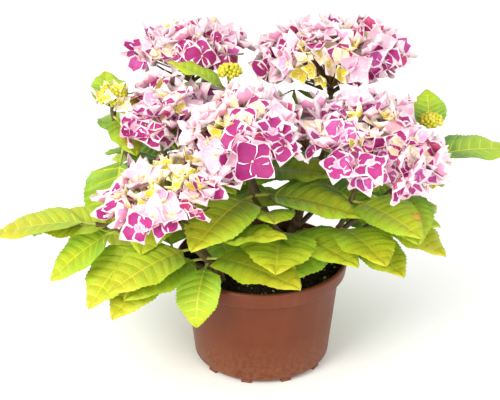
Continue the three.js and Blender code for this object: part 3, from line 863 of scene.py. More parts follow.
def planned_leaves(name, shoot, seed):
    draw = seeded(seed)
    a, b, c, d, _ = stem_curves[name]
    corners = corners_of("shoot_" + name)
    found = []
    for along, faces, off, rise, slant, length, *rest in shoot["pairs"]:
        root = bezier(a, b, c, d, along)[0]
        for side in (1, -1):
            wanted = dict(compass=faces + side * off + 8 * (draw() - 0.5),
                          rise=rise - side * slant + 8 * (draw() - 0.5),
                          length=length * mix(0.94, 1.06, draw()), roll=16 * (draw() - 0.5),
                          bend=rest[0] if rest else BEND)
            leaf = taken(root, wanted, corners)
            if leaf:
                found.append(dict(leaf, root=root, place=(name, len(found)), tip=leaf_tip(root, leaf)))
    return found


leaves = [leaf for i, (name, shoot) in enumerate(SHOOTS.items())
          for leaf in planned_leaves(name, shoot, SEEDS["places"] + i)]
print("leaves placed:", len(leaves))

# %% [markdown]
# ## The leaf itself
# A hydrangea leaf is ovate with a drawn-out tip, toothed, a little puckered between its veins
# and folded up along the midrib. Its rows of faces follow seven pairs of side veins, so each
# vein is a narrow strip of faces, pale near the midrib, and the skin bulges between them.

# %% Leaf rows and columns
VEINS = (0.07, 0.17, 0.28, 0.40, 0.53, 0.67, 0.81)
VEIN_HALF = 0.0065
WIDE = 0.36  # half width of the blade as a share of its length


def leaf_rows():
    """Shares along the midrib of the rows of corners, and which strips between them are veins."""
    rows, vein_strips = [0.0], set()
    for vein in VEINS:
        before, start = rows[-1], vein - VEIN_HALF
        rows += [mix(before, start, 1 / 3), mix(before, start, 2 / 3)] if vein > 0.1 else []
        rows.append(start)
        vein_strips.add(len(rows) - 1)
        rows.append(vein + VEIN_HALF)
    return rows + [0.86, 0.91, 0.96, 1.0], vein_strips


ROWS, VEIN_STRIPS = leaf_rows()
COLUMNS = (-1.0, -0.87, -0.6, -0.3, -0.036, 0.036, 0.3, 0.6, 0.87, 1.0)


def half_width(share):
    """Ovate, widest before the middle, with a drawn-out tip."""
    if not 0 < share < 1:
        return 0.0
    late = max(share - 0.6, 0) / 0.4
    return WIDE * share**0.45 * (1 - share) ** 0.68 / 0.4678 * (1 - 0.34 * late * late * (3 - 2 * late))


def between_veins(share):
    """0 on a vein and 1 midway between two."""
    marks = (0.0, *VEINS, 1.0)
    for low, high in zip(marks, marks[1:]):
        if low <= share <= high:
            return math.sin(math.pi * (share - low) / (high - low))
    return 0.0


print("rows:", len(ROWS), "columns:", len(COLUMNS))

# %% [markdown]
# The skin of one leaf isn't one green. It is deepest between the veins near the petiole and
# yellows towards the tip, so each face of the blade takes one of thirteen near skins, from deep
# green to yellow, by its place. The steps are small enough to read as a gradient.

# %% Leaf skins and finishes
SKIN_STOPS = [(96, 140, 58), (124, 165, 54), (146, 182, 50), (157, 188, 44), (164, 186, 40),
              (174, 184, 36), (184, 181, 37)]
SKIN_STEPS = 2  # skins from one stop to the next
SKIN_COUNT = SKIN_STEPS * (len(SKIN_STOPS) - 1) + 1


def skin_at(level):
    """The colour of a skin from 0, the deepest stop, to 6, the yellow one."""
    low = min(int(level), len(SKIN_STOPS) - 2)
    return [mix(a, b, level - low) for a, b in zip(SKIN_STOPS[low], SKIN_STOPS[low + 1])]


FINISHES = [
    finish(f"leaf_skin_{k:02d}", skin_at(k / SKIN_STEPS), skin_at(min(k / SKIN_STEPS + 0.5, 6)),
           rough=0.5, scale=55, cells=380, cloud=240, share=0.6, bump=0.5, depth=0.0009, specular=0.32)
    for k in range(SKIN_COUNT)
]
FINISHES += [
    finish("rib_lime", (178, 194, 56), (164, 184, 52), rough=0.5, scale=90, specular=0.3),
    finish("rib_yellow", (204, 208, 62), (196, 202, 56), rough=0.5, scale=90, specular=0.3),
    finish("leaf_underside", (150, 178, 76), (132, 162, 62), rough=0.6, scale=60, specular=0.3),
    finish("petiole_skin", (176, 190, 74), (154, 148, 72), rough=0.5, scale=90),
    finish("leaf_scorch", (206, 176, 42), (190, 112, 40), rough=0.6, scale=150, low=0.44,
           high=0.6),
]
RIB_ZONE, UNDER_ZONE, PETIOLE_ZONE, SCORCH_ZONE = (SKIN_COUNT + k for k in (0, 2, 3, 4))


def skin_zone(leaf, share, column, between, vein):
    """The skin of one face, from the leaf's tone (0 deep to 6 yellow) and the face's place."""
    patch = noise.noise(Vector((2.4 * column, 5 * share, leaf["patch"])))
    place = 2.6 * (share - 0.46) - 1.5 * between * (1.1 - share) - 0.3 * abs(column) + 1.1 * vein
    level = min(max(leaf["tone"] + place + 1.1 * patch, 0), 6)
    return round(SKIN_STEPS * level)


# %% [markdown]
# A blade, like a sepal later on, is a closed shell: an upper and a lower skin of the same rows
# of corners, which share their rim. One function joins the corners up and asks a rule, given
# with them, which finish each face takes.

# %% Thin shell and leaf finishes
def shell(top, under, wide, coats, caps):
    """A closed thin blade whose two skins, rows of `wide` corners, share their rim. coats(row, k)
    gives a face's zones above and below, and caps has those of the foot's and the tip's edges."""
    points, low = list(top), list(range(len(top)))
    for i, place in enumerate(under):
        if 0 < i % wide < wide - 1:
            low[i] = len(points)
            points.append(place)
    faces, zones, last = [], [], len(top) // wide - 1
    for row in range(last):
        for k in range(wide - 1):
            a, b = row * wide + k, row * wide + k + 1
            c, d = b + wide, a + wide
            faces += [(a, d, c, b), (low[a], low[b], low[c], low[d])]
            zones += coats(row, k)
    for row, zone in zip((0, last), caps):
        ring = [row * wide + k for k in range(wide)]
        ring += [low[row * wide + k] for k in range(wide - 2, 0, -1)]
        faces.append(tuple(ring[::-1] if row else ring))
        zones.append(zone)
    return points, faces, zones


YELLOW_RIBS = 2.4  # the tone past which a leaf's ribs are yellow
PALE_VEINS = 0.5  # how far out, of the half width, a vein has the rib's finish
SCORCH = dict(at=0.62, long=0.11, wide=0.34)


def leaf_coats(leaf):
    """Gives a rule for the finishes of one blade's faces, above and below."""
    middle = len(COLUMNS) // 2 - 1

    def coats(row, k):
        share, column = 0.5 * (ROWS[row] + ROWS[row + 1]), 0.5 * (COLUMNS[k] + COLUMNS[k + 1])
        vein = row in VEIN_STRIPS and 0 < k < len(COLUMNS) - 2
        off_scorch = math.hypot((share - SCORCH["at"]) / SCORCH["long"],
                                (column - leaf["scorched"]) / SCORCH["wide"])
        if k == middle or (vein and abs(column) < PALE_VEINS):
            skin = RIB_ZONE + (leaf["tone"] > YELLOW_RIBS)
        elif off_scorch < 1:
            skin = SCORCH_ZONE
        else:
            skin = skin_zone(leaf, share, column, between_veins(share), vein)
        return [skin, PETIOLE_ZONE if k == middle else UNDER_ZONE]

    return coats


# %% Leaf shape
SWEEP = 0.24  # how far a side vein runs forward, as a share of the leaf's length
TEETH = (-0.008, 0.010)
PUFF, DROOP, SKIN, RIB_SUNK, KEEL = 2.1, 0.055, 0.25, 0.45, 0.75


def leaf_shape(leaf, seed):
    """Points, faces and zones of one leaf."""
    draw = seeded(seed)
    length, compass, rise, bend = leaf["length"], leaf["compass"], leaf["rise"], leaf["bend"]
    across = turned(heading(compass + 90, 0), heading(compass, rise), leaf["roll"])
    foot = heading(compass, rise + 8)
    base = leaf["root"] + foot * PETIOLE * length
    waves, phase, lift_more = mix(1.6, 2.8, draw()), 6.3 * draw(), mix(0.8, 2.2, draw())
    fine = np.linspace(0, 1, 41)
    steps = [heading(compass, rise - bend * (s + 0.0125)) * length * 0.025 for s in fine[:-1]]
    spine = np.vstack([base, base + np.cumsum(steps, axis=0)])

    def at(share):
        share = min(max(share, 0.0), 1.0)
        centre = np.array([np.interp(share, fine, spine[:, k]) for k in range(3)])
        return centre, unit(np.cross(heading(compass, rise - bend * share), across))

    top, under = [], []
    for row, share in enumerate(ROWS):
        inner = 0 < row < len(ROWS) - 1
        tooth = TEETH[row % 2] * inner * min(1.0, 3 * (1 - share))
        for column in COLUMNS:
            f = abs(column)
            slide = SWEEP * f**1.2 * (1 - share) * min(1.0, share / 0.15)
            centre, up = at(share + slide + (tooth * 0.5 if f == 1 else 0))
            half = (half_width(share + slide) + (tooth if f == 1 else 0)) * length * leaf["broad"]
            half = max(half, 0.3 if inner else (0.9 if share == 0 else 0.12))
            puff = PUFF * between_veins(share) * math.sin(math.pi * min(f, 1)) * (length / 80)
            wave = lift_more * f**3 * math.sin(waves * 2 * math.pi * share + phase + 2.2 * (column > 0))
            droop = -DROOP * length * f * f * math.sin(math.pi * share)
            fold = f * half * math.tan(math.radians(FOLD)) + puff + wave * math.sin(math.pi * share)
            rib = f < 0.1
            place = centre + across * column * half + up * (fold + droop - (RIB_SUNK if rib else 0.0))
            top.append(place + up * (0.0 if f == 1 else SKIN))
            under.append(place - up * (0.0 if f == 1 else (KEEL if rib else SKIN)))
    points, faces, zones = shell(top, under, len(COLUMNS), leaf_coats(leaf), (UNDER_ZONE, UNDER_ZONE))
    path = [leaf["root"], mix(leaf["root"], base, 0.45), mix(leaf["root"], base, 0.85), base + foot * 4]
    stalk, walls, _ = tube(path, (1.9, 1.35, 1.3, 0.7), 6)
    faces += [tuple(len(points) + i for i in face) for face in walls]
    return points + stalk, faces, zones + [PETIOLE_ZONE] * len(walls)


# %% [markdown]
# ## Which leaf is how bright
# Young leaves at the rim are lime to yellow and older ones deeper green. A leaf's tone is also
# painted light and shade: it comes from how far its tip stands out to the front, the sides and
# the top, with a small random part, so outer leaves are painted lighter, as if lit, and leaves
# inside the plant and behind it darker, as painted shade. One or two have scorched edges.

# %% All leaves
# Shoot tones: partly leaf age, partly painted light, with back and inner shoots darker as painted
# shade.
SHOOT_TONES_AND_SHADE = dict(left_low=4.9, left_bud=4.0, front_left=4.2, centre=4.2, right=3.8, right_low=4.3,
                   right_bud=3.2, middle_bud=4.0, mid_left=3.1, top_left=2.8, top_right=2.8,
                   back_left=2.5, back_right=2.5, back_side=3.0, left_side=3.4)
# Leaf tone shifts, partly painted light and shade: leaves that stand lit are raised, shaded ones
# lowered.
TONE_AND_SHADE_SHIFTS = {("front_left", 3): -1.0, ("front_left", 0): 0.6, ("centre", 5): -0.6,
               ("right", 0): 1.2, ("centre", 4): -0.2, ("right_bud", 4): -1.6,
               ("right_bud", 3): -1.4, ("left_bud", 4): -1.4, ("middle_bud", 3): -0.9}
BROADER = {("front_left", 0): 1.34, ("centre", 1): 1.16, ("centre", 0): 1.12, ("right", 0): 1.1}
SCORCHED = {("left_low", 3): -0.8, ("right", 5): 0.8}  # the leaf's place, and the scorched column
NOT_SCORCHED = 9  # a column that no leaf has


def tone_with_painted_light(leaf, draw):
    """0 deep green to 6 yellow; partly painted light, outer and higher tips lighter, inner ones darker.
    """
    x, y, z = leaf["tip"]
    # Painted light: tips further out to the front, the sides or the top make a leaf lighter, inner ones
    # darker.
    out = max(-y / 130, abs(x + 10) / 190, (z - 190) / 90, 0)
    tone = SHOOT_TONES_AND_SHADE[leaf["place"][0]] + TONE_AND_SHADE_SHIFTS.get(leaf["place"], 0)
    return min(max(tone + 1.6 * (out - 0.7) + 2.2 * (draw() - 0.5) - 0.2, 0.9), 5.6)


foliage, draw = Batch(), seeded(SEEDS["tones"])
for order, leaf in enumerate(leaves):
    leaf["tone"], leaf["patch"] = tone_with_painted_light(leaf, draw), 7.3 * order
    leaf["scorched"] = SCORCHED.get(leaf["place"], NOT_SCORCHED)
    leaf["broad"] = BROADER.get(leaf["place"], 1)
    foliage.add(*leaf_shape(leaf, SEEDS["leaves"] + order))
blades = foliage.build("leaves", FINISHES)
print("leaf triangles:", triangles(blades))

# %% [markdown]
# ## Florets
# The showy part of a hydrangea floret is four overlapping sepals round a bead-like bud. A
# sepal here is a closed shell of 34 faces, broad with a drawn-out tip that bends up or down. Its
# rim faces, which run right to the centre, are the white margin, and the faces nearest the bead
# are the throat, which is paler on some kinds. A few kinds are built once and a tree deals them.

# %% Sepal and floret shapes
SEPAL_ROWS = ((0.0, 0.10), (0.32, 0.46), (0.64, 0.67), (0.98, 0.36), (1.26, 0.02))
RIM = 0.22  # the margin's share of a sepal's half width
SEPAL_THICK, SEPAL_WAVE, RUFFLE, SHOULDER = 0.035, 0.15, 0.06, 0.2
FIELD, MARGIN, REVERSE, BEAD, THROAT = range(5)


def sepal(radius, turn, lift, cup, curl, throat_rows, rim, draw):
    """Points, faces and zones of one sepal."""
    top, back = [], []
    (near, near_width), (length, tip_width) = SEPAL_ROWS[-2:]
    inner, thinner = 1 - rim, rim / RIM
    columns = (-1.0, -inner, 0.0, inner, 1.0)
    near_tip = (length - (length - near) * thinner, mix(tip_width + 0.1, near_width, thinner))
    skew, size, tip = 0.2 * (draw() - 0.5), mix(0.88, 1.1, draw()), mix(-0.20, 0.30, draw())
    phases = (6.3 * draw(), 6.3 * draw())
    a = math.radians(turn)
    out, side = np.array([math.cos(a), math.sin(a), 0]), np.array([-math.sin(a), math.cos(a), 0])
    for share, width in (*SEPAL_ROWS[:-2], near_tip, SEPAL_ROWS[-1]):
        for column in columns:
            f = abs(column)
            wave = SEPAL_WAVE * f * share * math.sin(5.0 * share + phases[column > 0])
            wave += RUFFLE * f * (draw() - 0.5)
            back_off = SHOULDER * f * math.sin(math.pi * share / length)
            place = out * (share - back_off) + side * (column * width + skew * share)
            height = curl * f**2 * share + wave - 0.05 * (1 - f) * share
            height += tip * max(share - 0.55, 0) / 0.6
            height = lift + cup * share**1.6 + height * radius
            top.append(place * radius * size + UP * height)
            back.append(place * radius * size + UP * (height - SEPAL_THICK * radius))

    def coats(row, k):
        if k in (0, len(columns) - 2) or row == len(SEPAL_ROWS) - 2:
            return [MARGIN, MARGIN]
        return [THROAT if row < throat_rows else FIELD, REVERSE]

    return shell(top, back, len(columns), coats, (REVERSE, MARGIN))


def ball(radius, centre, sides=6):
    """A small closed bead of a few faces."""
    points = [np.array([0, 0, -radius])]
    for height in (-0.5, 0.5):
        for i in range(sides):
            turn = 2 * math.pi * (i + (height > 0) * 0.5) / sides
            points.append(radius * np.array([0.87 * math.cos(turn), 0.87 * math.sin(turn), height]))
    points.append(np.array([0, 0, radius]))
    ring = range(sides)
    faces = [(0, 1 + (i + 1) % sides, 1 + i) for i in ring]
    faces += [(1 + i, 1 + (i + 1) % sides, 1 + sides + i) for i in ring]
    faces += [(1 + (i + 1) % sides, 1 + sides + (i + 1) % sides, 1 + sides + i) for i in ring]
    faces += [(2 * sides + 1, 1 + sides + i, 1 + sides + (i + 1) % sides) for i in ring]
    return [p + np.asarray(centre) for p in points], faces


def floret(name, seed, materials, radius, cup, curl, throat_rows, rim=RIM):
    """One floret facing up, as an object with zones field, margin, back, bead and throat."""
    draw, whole = seeded(seed), Batch()
    for k in range(4):
        whole.add(*sepal(radius, 90 * k + 12 * (draw() - 0.5), 0.6 if k % 2 else 0.0,
                         cup + 4.0 * (draw() - 0.5), curl, throat_rows, rim, draw))
    points, faces = ball(0.09 * radius, (0, 0, 0.10 * radius), 5)
    whole.add(points, faces, [BEAD] * len(faces))
    return whole.build(name, materials)


# %% [markdown]
# ## Petal colours
# The mature sepals are magenta with a crisp white margin, deeper on some heads, and the young
# ones in the middle of a head are still cream or greenish yellow. Each floret kind carries its
# own field, margin, back and bead finish.

# %% Petal finishes
def petal(name, base, tint, scale=190):
    return finish("petal_" + name, base, tint, rough=0.52, scale=scale, low=0.3, high=0.75, cells=1400,
                  cloud=500, share=0.3, bump=0.22, depth=0.0004, specular=0.35)


white_rim = petal("white_margin", (244, 230, 234), (240, 214, 224))
deep_magenta = petal("deep_magenta", (140, 22, 94), (158, 38, 114))
magenta = petal("magenta", (156, 30, 108), (176, 52, 130))
orchid = petal("orchid", (174, 60, 138), (192, 92, 158))
crimson = petal("crimson", (162, 30, 86), (182, 50, 106))
rose = petal("rose", (174, 40, 98), (190, 70, 122))
blush = petal("blush", (226, 152, 192), (236, 184, 210))
pale = petal("pale", (242, 210, 222), (240, 190, 212))
cream = petal("cream", (246, 238, 204), (244, 230, 176))
lemon = petal("lemon", (226, 206, 62), (214, 204, 66))
pink_back = petal("pink_back", (222, 140, 178), (234, 178, 204))
rose_back = petal("rose_back", (192, 62, 112), (212, 104, 142))
cream_back = petal("cream_back", (240, 226, 190), (232, 214, 164))
bead = petal("bead", (206, 214, 128), (226, 168, 196), 600)

KINDS = [  # field, margin, back, bead and throat finishes, then radius, cup, curl and throat rows
    (crimson, white_rim, rose_back, bead, rose, 15.5, 4.0, 0.20, 1),
    (rose, white_rim, rose_back, bead, blush, 16.0, 1.0, 0.12, 1),
    (magenta, white_rim, pink_back, bead, blush, 16.0, 5.0, 0.22, 1),
    (magenta, white_rim, pink_back, bead, magenta, 17.5, -1.0, 0.10, 0),
    (magenta, white_rim, rose_back, bead, pale, 15.5, 3.0, 0.18, 1),
    (orchid, white_rim, pink_back, bead, pale, 16.0, 7.0, 0.28, 1),
    (magenta, white_rim, rose_back, bead, orchid, 16.5, -4.0, 0.18, 1),
    (orchid, white_rim, pink_back, bead, blush, 16.0, -2.0, 0.14, 1),
    (pale, white_rim, pink_back, bead, blush, 16.0, 3.0, 0.22, 1),
    (pale, white_rim, cream_back, lemon, cream, 15.0, 4.0, 0.24, 1),
    (magenta, white_rim, pink_back, bead, cream, 15.0, 3.0, 0.24, 2),
    (blush, white_rim, cream_back, bead, cream, 13.5, 4.0, 0.24, 1),
    (cream, white_rim, cream_back, lemon, lemon, 11.0, 3.0, 0.20, 1),
    (lemon, cream, lemon, lemon, lemon, 8.5, 3.0, 0.22, 1),
]
SMALL_KINDS = (12, 13)
kinds = shelf("floret_kinds", [floret(f"floret_{i:02d}", SEEDS["florets"] + i, kind[:5], *kind[5:])
                               for i, kind in enumerate(KINDS)])


# %% [markdown]
# ## A dome of points
# A mophead is a dome of florets, evenly packed. The golden angle packs points evenly on a
# sphere: each next point turns by 137.5 degrees and steps down by an equal share of the height.
# The group below does that with numbers for the dome's size, lean and seed, drops the points
# that would land in a leaf, and keeps the way each point faces as an attribute.

# %% Dome group
DOME_SOCKETS = dict(Count=60, Wide=0.05, High=0.04, Lowest=-0.26, Axis=(0, 0, 1), Centre=(0, 0, 0),
                    Tilt=0.2, Loose=0.05, Seed=1, Obstacle="Object", Clear=0.006)


def dome_group():
    tree = group_tree("dome_points", "Geometry", DOME_SOCKETS, dict(Points="Geometry"))
    given, calc = tree.given, tree.math

    def scaled(a, b, c, operation, sizes):
        """Three numbers, each multiplied or divided by its size, as one vector."""
        return tree.xyz(*(calc(operation, value, size) for value, size in zip((a, b, c), sizes)))

    index = tree.first("GeometryNodeInputIndex")
    down = calc("DIVIDE", calc("ADD", index, 0.5), given["Count"])
    cosine = calc("ADD", 1.0, calc("MULTIPLY", calc("SUBTRACT", given["Lowest"], 1.0), down))
    sine = calc("SQRT", calc("SUBTRACT", 1.0, calc("MULTIPLY", cosine, cosine)))
    turn = calc("ADD", calc("MULTIPLY", index, GOLDEN), given["Seed"])
    east, north = (calc("MULTIPLY", sine, calc(wave, turn)) for wave in ("COSINE", "SINE"))
    reach = tree.random("FLOAT", calc("SUBTRACT", 1.0, given["Loose"]), 1.02, given["Seed"])
    wide, high = calc("MULTIPLY", given["Wide"], reach), calc("MULTIPLY", given["High"], reach)
    place = scaled(east, north, cosine, "MULTIPLY", (wide, wide, high))
    facing = scaled(east, north, cosine, "DIVIDE", (given["Wide"], given["Wide"], given["High"]))
    stray = tree.random("FLOAT_VECTOR", (-1, -1, -1), (1, 1, 1), given["Seed"])
    off = tree.first("ShaderNodeVectorMath", {0: stray, "Scale": given["Tilt"]}, operation="SCALE")
    facing = tree.vector("ADD", tree.vector("NORMALIZE", facing), off)
    lean = tree.aimed(given["Axis"])
    place, facing = (tree.first("FunctionNodeRotateVector", {0: v, 1: lean}) for v in (place, facing))
    cloud = tree.first("GeometryNodePoints", {"Count": given["Count"],
                                              "Position": tree.vector("ADD", place, given["Centre"])})
    kept = tree.stored(tree.stored(cloud, "facing", facing, "FLOAT_VECTOR"), "down", down)
    near = tree.add("GeometryNodeProximity", {0: tree.mesh_of(given["Obstacle"])}).outputs["Distance"]
    blocked = calc("LESS_THAN", near, given["Clear"])
    return tree.done(Points=tree.first("GeometryNodeDeleteGeometry", {
        "Geometry": kept, "Selection": blocked}))


DOME = dome_group()
print("dome group nodes:", len(DOME.nodes))


# %% [markdown]
# ## Florets on the dome
# This tree sets a floret on each point, turned to face outwards and spun at random. It picks a
# full-coloured kind, or for a share of the points a pale or young one. Inside a spot given by a
# direction and a cosine it picks the youngest kinds only. Then it realizes the instances. The
# pedicel tree stands a thin stalk from each point to the hub of the head.

# %% Floret tree and pedicel tree
NOWHERE = 2.0  # a cosine that no direction reaches


def dome_in(tree):
    """The dome group placed in a tree, fed from the tree's own inputs of the same names."""
    feeds = {label: tree.given[label] for label in DOME_SOCKETS}
    return tree.first("GeometryNodeGroup", feeds, node_tree=DOME)


def floret_tree():
    tree = group_tree("florets_on_dome", "Geometry", {
        **DOME_SOCKETS, "Kinds": "Collection", "First kind": 0, "Last kind": 5, "First young": 8,
        "Last young": 13, "Young share": 0.15, "Small": 0.85, "Large": 1.06, "Spot": (0, 0, 1),
        "Spot edge": NOWHERE, "Eye finish": "Material"})
    given, calc = tree.given, tree.math

    def rolled(kind, low, high, step):
        return tree.random(kind, low, high, calc("ADD", given["Seed"], step))

    def either(test, other, chosen):
        return tree.first("GeometryNodeSwitch", {0: test, 1: other, 2: chosen}, input_type="INT")

    rising = calc("SUBTRACT", 1.7, calc("MULTIPLY", tree.named("down"), 1.4))
    share = calc("MULTIPLY", given["Young share"], rising)
    young = calc("LESS_THAN", rolled("FLOAT", 0.0, 1.0, 3), share)
    pick = either(young, rolled("INT", given["First kind"], given["Last kind"], 5),
                  rolled("INT", given["First young"], given["Last young"], 7))
    place = tree.first("GeometryNodeInputPosition")
    outward = tree.vector("NORMALIZE", tree.vector("SUBTRACT", place, given["Centre"]))
    nearness = tree.vector("DOT_PRODUCT", outward, given["Spot"])
    youngest = rolled("INT", calc("SUBTRACT", given["Last young"], 1), given["Last young"], 13)
    pick = either(calc("GREATER_THAN", nearness, given["Spot edge"]), pick, youngest)
    spin = tree.xyz(z=rolled("FLOAT", 0.0, 6.283, 9))
    spun = tree.first("FunctionNodeRotateRotation", {
        0: tree.aimed(tree.named("facing", "FLOAT_VECTOR")), 1: spin}, rotation_space="LOCAL")
    placed = tree.first("GeometryNodeInstanceOnPoints", {
        "Points": dome_in(tree), "Instance": tree.members(given["Kinds"]), "Pick Instance": True,
        "Instance Index": pick, "Rotation": spun,
        "Scale": rolled("FLOAT", given["Small"], given["Large"], 11)})
    eye = calc("GREATER_THAN", tree.named("eye"), 0.5)
    return tree.done(Geometry=tree.coated(tree.realized(placed), given["Eye finish"], eye))


def pedicel_tree():
    tree = group_tree("pedicels_in_dome", "Geometry", {
        **DOME_SOCKETS, "Stalk": "Object", "Hub": (0, 0, 0), "Finish": "Material"})
    inward = tree.vector("SUBTRACT", tree.given["Hub"], tree.first("GeometryNodeInputPosition"))
    placed = tree.first("GeometryNodeInstanceOnPoints", dict(
        Points=dome_in(tree), Instance=tree.mesh_of(tree.given["Stalk"]), Rotation=tree.aimed(inward),
        Scale=tree.xyz(1.0, 1.0, tree.vector("LENGTH", inward))))
    return tree.done(Geometry=tree.coated(tree.realized(placed), tree.given["Finish"]))


FLORETS, PEDICELS = floret_tree(), pedicel_tree()
for kind in kinds.objects:
    marks = kind.data.attributes.new("eye", "FLOAT", "FACE")
    marks.data.foreach_set("value", [float(p.material_index == BEAD) for p in kind.data.polygons])

# %% [markdown]
# ## The heads
# Each head runs the two trees with its own lean, size, seed and share of young florets, and six
# have a spot where the youngest crowd. The low head at the front left is mostly pale. A short
# green stalk carries the hub, from which thicker branches fork out under the florets.

# %% Heads
SPACING, INSET, LOWER, LEAF_GAP = 18.0, 7.0, 9.0, 5.0
HANG = 12  # how many degrees higher the florets stop than the solid head's
MORE_HANG = dict(centre=8, front_left=4)
KEEP_OFF = (5, 14, 23, 30)  # nested balls about a bud cluster, and before it, that no floret may touch
BEFORE = np.array([0.0, -18.0, 8.6])
YOUNG_SHARE = dict(top_left=0.38, top_right=0.44, mid_left=0.5, centre=0.48, right=0.42,
                   front_left=0.66, back_left=0.32, back_right=0.36)
FIRST_YOUNG = dict(front_left=9)
SPOTS = {  # where the youngest florets crowd: the way they lie from the head's centre, and a cosine
    "top_right": ((-0.25, -0.9, 0.32), 0.93),
    "mid_left": ((0.05, -0.2, 1.0), 0.90),
    "centre": ((-0.55, -0.65, 0.5), 0.93),
    "right": ((0.1, -0.6, 0.8), 0.92),
    "front_left": ((-0.1, -0.1, 1.0), 0.62),
    "back_left": ((-0.1, 0.9, 0.4), 0.93),
}
ray_skin = finish("ray_skin", (168, 150, 92), (176, 104, 104), rough=0.55, scale=300)
BRANCHES = 7  # thick forks between a stalk and its florets
HUB_RADII, FORK_RADII, FORK_STEPS = (2.4, 2.3, 3.2, 2.2), (1.9, 0.9), 7
stalk = build("stalk", *tube([(0, 0, k * 250) for k in range(5)], (1.3, 1.0, 0.85, 0.8, 1.2), 5)[:2])
obstacles = Batch()
for at, _ in BUDS.values():
    for spot in (np.array(at), at + BEFORE, at + 2 * BEFORE):
        for reach in KEEP_OFF:
            points, faces = ball(reach, spot, 12)
            obstacles.add(points, faces, [0] * len(faces))
bud_spaces = obstacles.build("bud_spaces", [])
in_the_way = joined("in_the_way", [linked("leaf_copy", blades.data.copy()), bud_spaces])


def dome_inputs(name, head, seed):
    axis, centre, _, _ = head_frame(head)
    lowest = math.cos(math.radians(head["skirt"] - HANG - MORE_HANG.get(name, 0)))
    area = math.pi * head["wide"] * (head["wide"] + head["high"]) * (1 - lowest)
    return dict(Count=round(area / SPACING**2), Wide=(head["wide"] - INSET) * MM,
                High=(head["high"] - LOWER) * MM, Lowest=lowest, Axis=tuple(axis),
                Centre=tuple(centre * MM), Tilt=0.7, Loose=0.24, Seed=seed, Obstacle=in_the_way,
                Clear=LEAF_GAP * MM)


heads, rays, stalks = {}, [], Batch()
for order, (name, head) in enumerate(HEADS.items()):
    given = dome_inputs(name, head, SEEDS["heads"] + order)
    axis, centre, hub, foot = head_frame(head)
    first, last = (0, 5) if name.startswith("top") else (1, 7)
    spot, spot_edge = SPOTS.get(name, (UP, NOWHERE))
    heads[name] = run_tree("florets_" + name, FLORETS, Kinds=kinds, Young_share=YOUNG_SHARE[name],
                           First_kind=first, Last_kind=last, First_young=FIRST_YOUNG.get(name, 8),
                           Last_young=13, Spot=tuple(unit(np.array(spot))), Spot_edge=float(spot_edge),
                           Eye_finish=bead, **given)
    rays.append(run_tree("rays_" + name, PEDICELS, Stalk=stalk, Hub=tuple(hub * MM), Finish=ray_skin,
                         **given))
    stalks.add(*tube([foot, mix(foot, hub, 0.5), hub, hub + axis * 3], HUB_RADII, 8))
    flat = unit(np.cross(axis, heading(0, 0)))
    for k in range(BRANCHES):
        out = turned(flat, axis, 360 * (k + 0.3 * math.sin(5 * k + order)) / BRANCHES)
        fork = hub + out * 0.30 * head["wide"]
        end = hub + out * 0.55 * head["wide"] + axis * 0.34 * head["high"]
        path = bezier(mix(foot, hub, 0.4), hub + out * 3, fork, end, np.linspace(0, 1, FORK_STEPS))
        stalks.add(*tube(path, np.linspace(*FORK_RADII, FORK_STEPS), 6))
    print(name, "florets:", given["Count"], "faces:", len(heads[name].data.polygons))

# %% [markdown]
# The largest floret hangs at the lower front of the middle head, square on to the front. It is
# placed a little before the others, on a pedicel of its own.

# %% Largest floret
LARGEST = dict(at=(-9.5, -94.0, 252.0), facing=(0.06, -0.92, 0.34), radius=17.5, spin=45)
largest = floret("largest", SEEDS["largest"], [deep_magenta, white_rim, pink_back, bead, deep_magenta],
                 LARGEST["radius"], cup=2.5, curl=0.14, throat_rows=0, rim=0.11)
turn = Vector(LARGEST["facing"]).to_track_quat("Z", "Y").to_matrix().to_4x4()
spin = Matrix.Rotation(math.radians(LARGEST["spin"]), 4, "Z")
largest.data.transform(Matrix.Translation(Vector(LARGEST["at"]) * MM) @ turn @ spin)
hub = head_frame(HEADS["centre"])[2]
place = np.array(LARGEST["at"])
stalks.add(*tube([hub, mix(hub, place, 0.5), mix(hub, place, 0.98)], (1.2, 0.9, 1.0), 5))
print("largest floret faces:", len(largest.data.polygons))

# %% [markdown]
# The florets go into two pieces, front and back, to keep each under two hundred thousand
# triangles, and the pedicels and hubs into a third.

# %% Head pieces
FRONT = ("centre", "right", "front_left", "mid_left")
BACK = ("top_left", "top_right", "back_left", "back_right")
for label, names in (("florets_front", FRONT), ("florets_back", BACK)):
    extra = [largest] if "centre" in names else []
    piece = joined(label, [heads[name] for name in names] + extra)
    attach(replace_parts(piece, *["head_" + name for name in names]), "root")
    print(label, "triangles:", triangles(piece))
hubs = stalks.build("hubs", [stem_skin])
pedicels = joined("pedicels", [hubs, *rays])
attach(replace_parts(pedicels, *["head_" + name for name in HEADS]), "root")
print("pedicel triangles:", triangles(pedicels))

# %% [markdown]
# ## Bud clusters
# The young heads at the sides are tight domes of beads, green-yellow, with the first small
# pale florets opening on the larger one. They are the same tree again, with beads as the kinds.

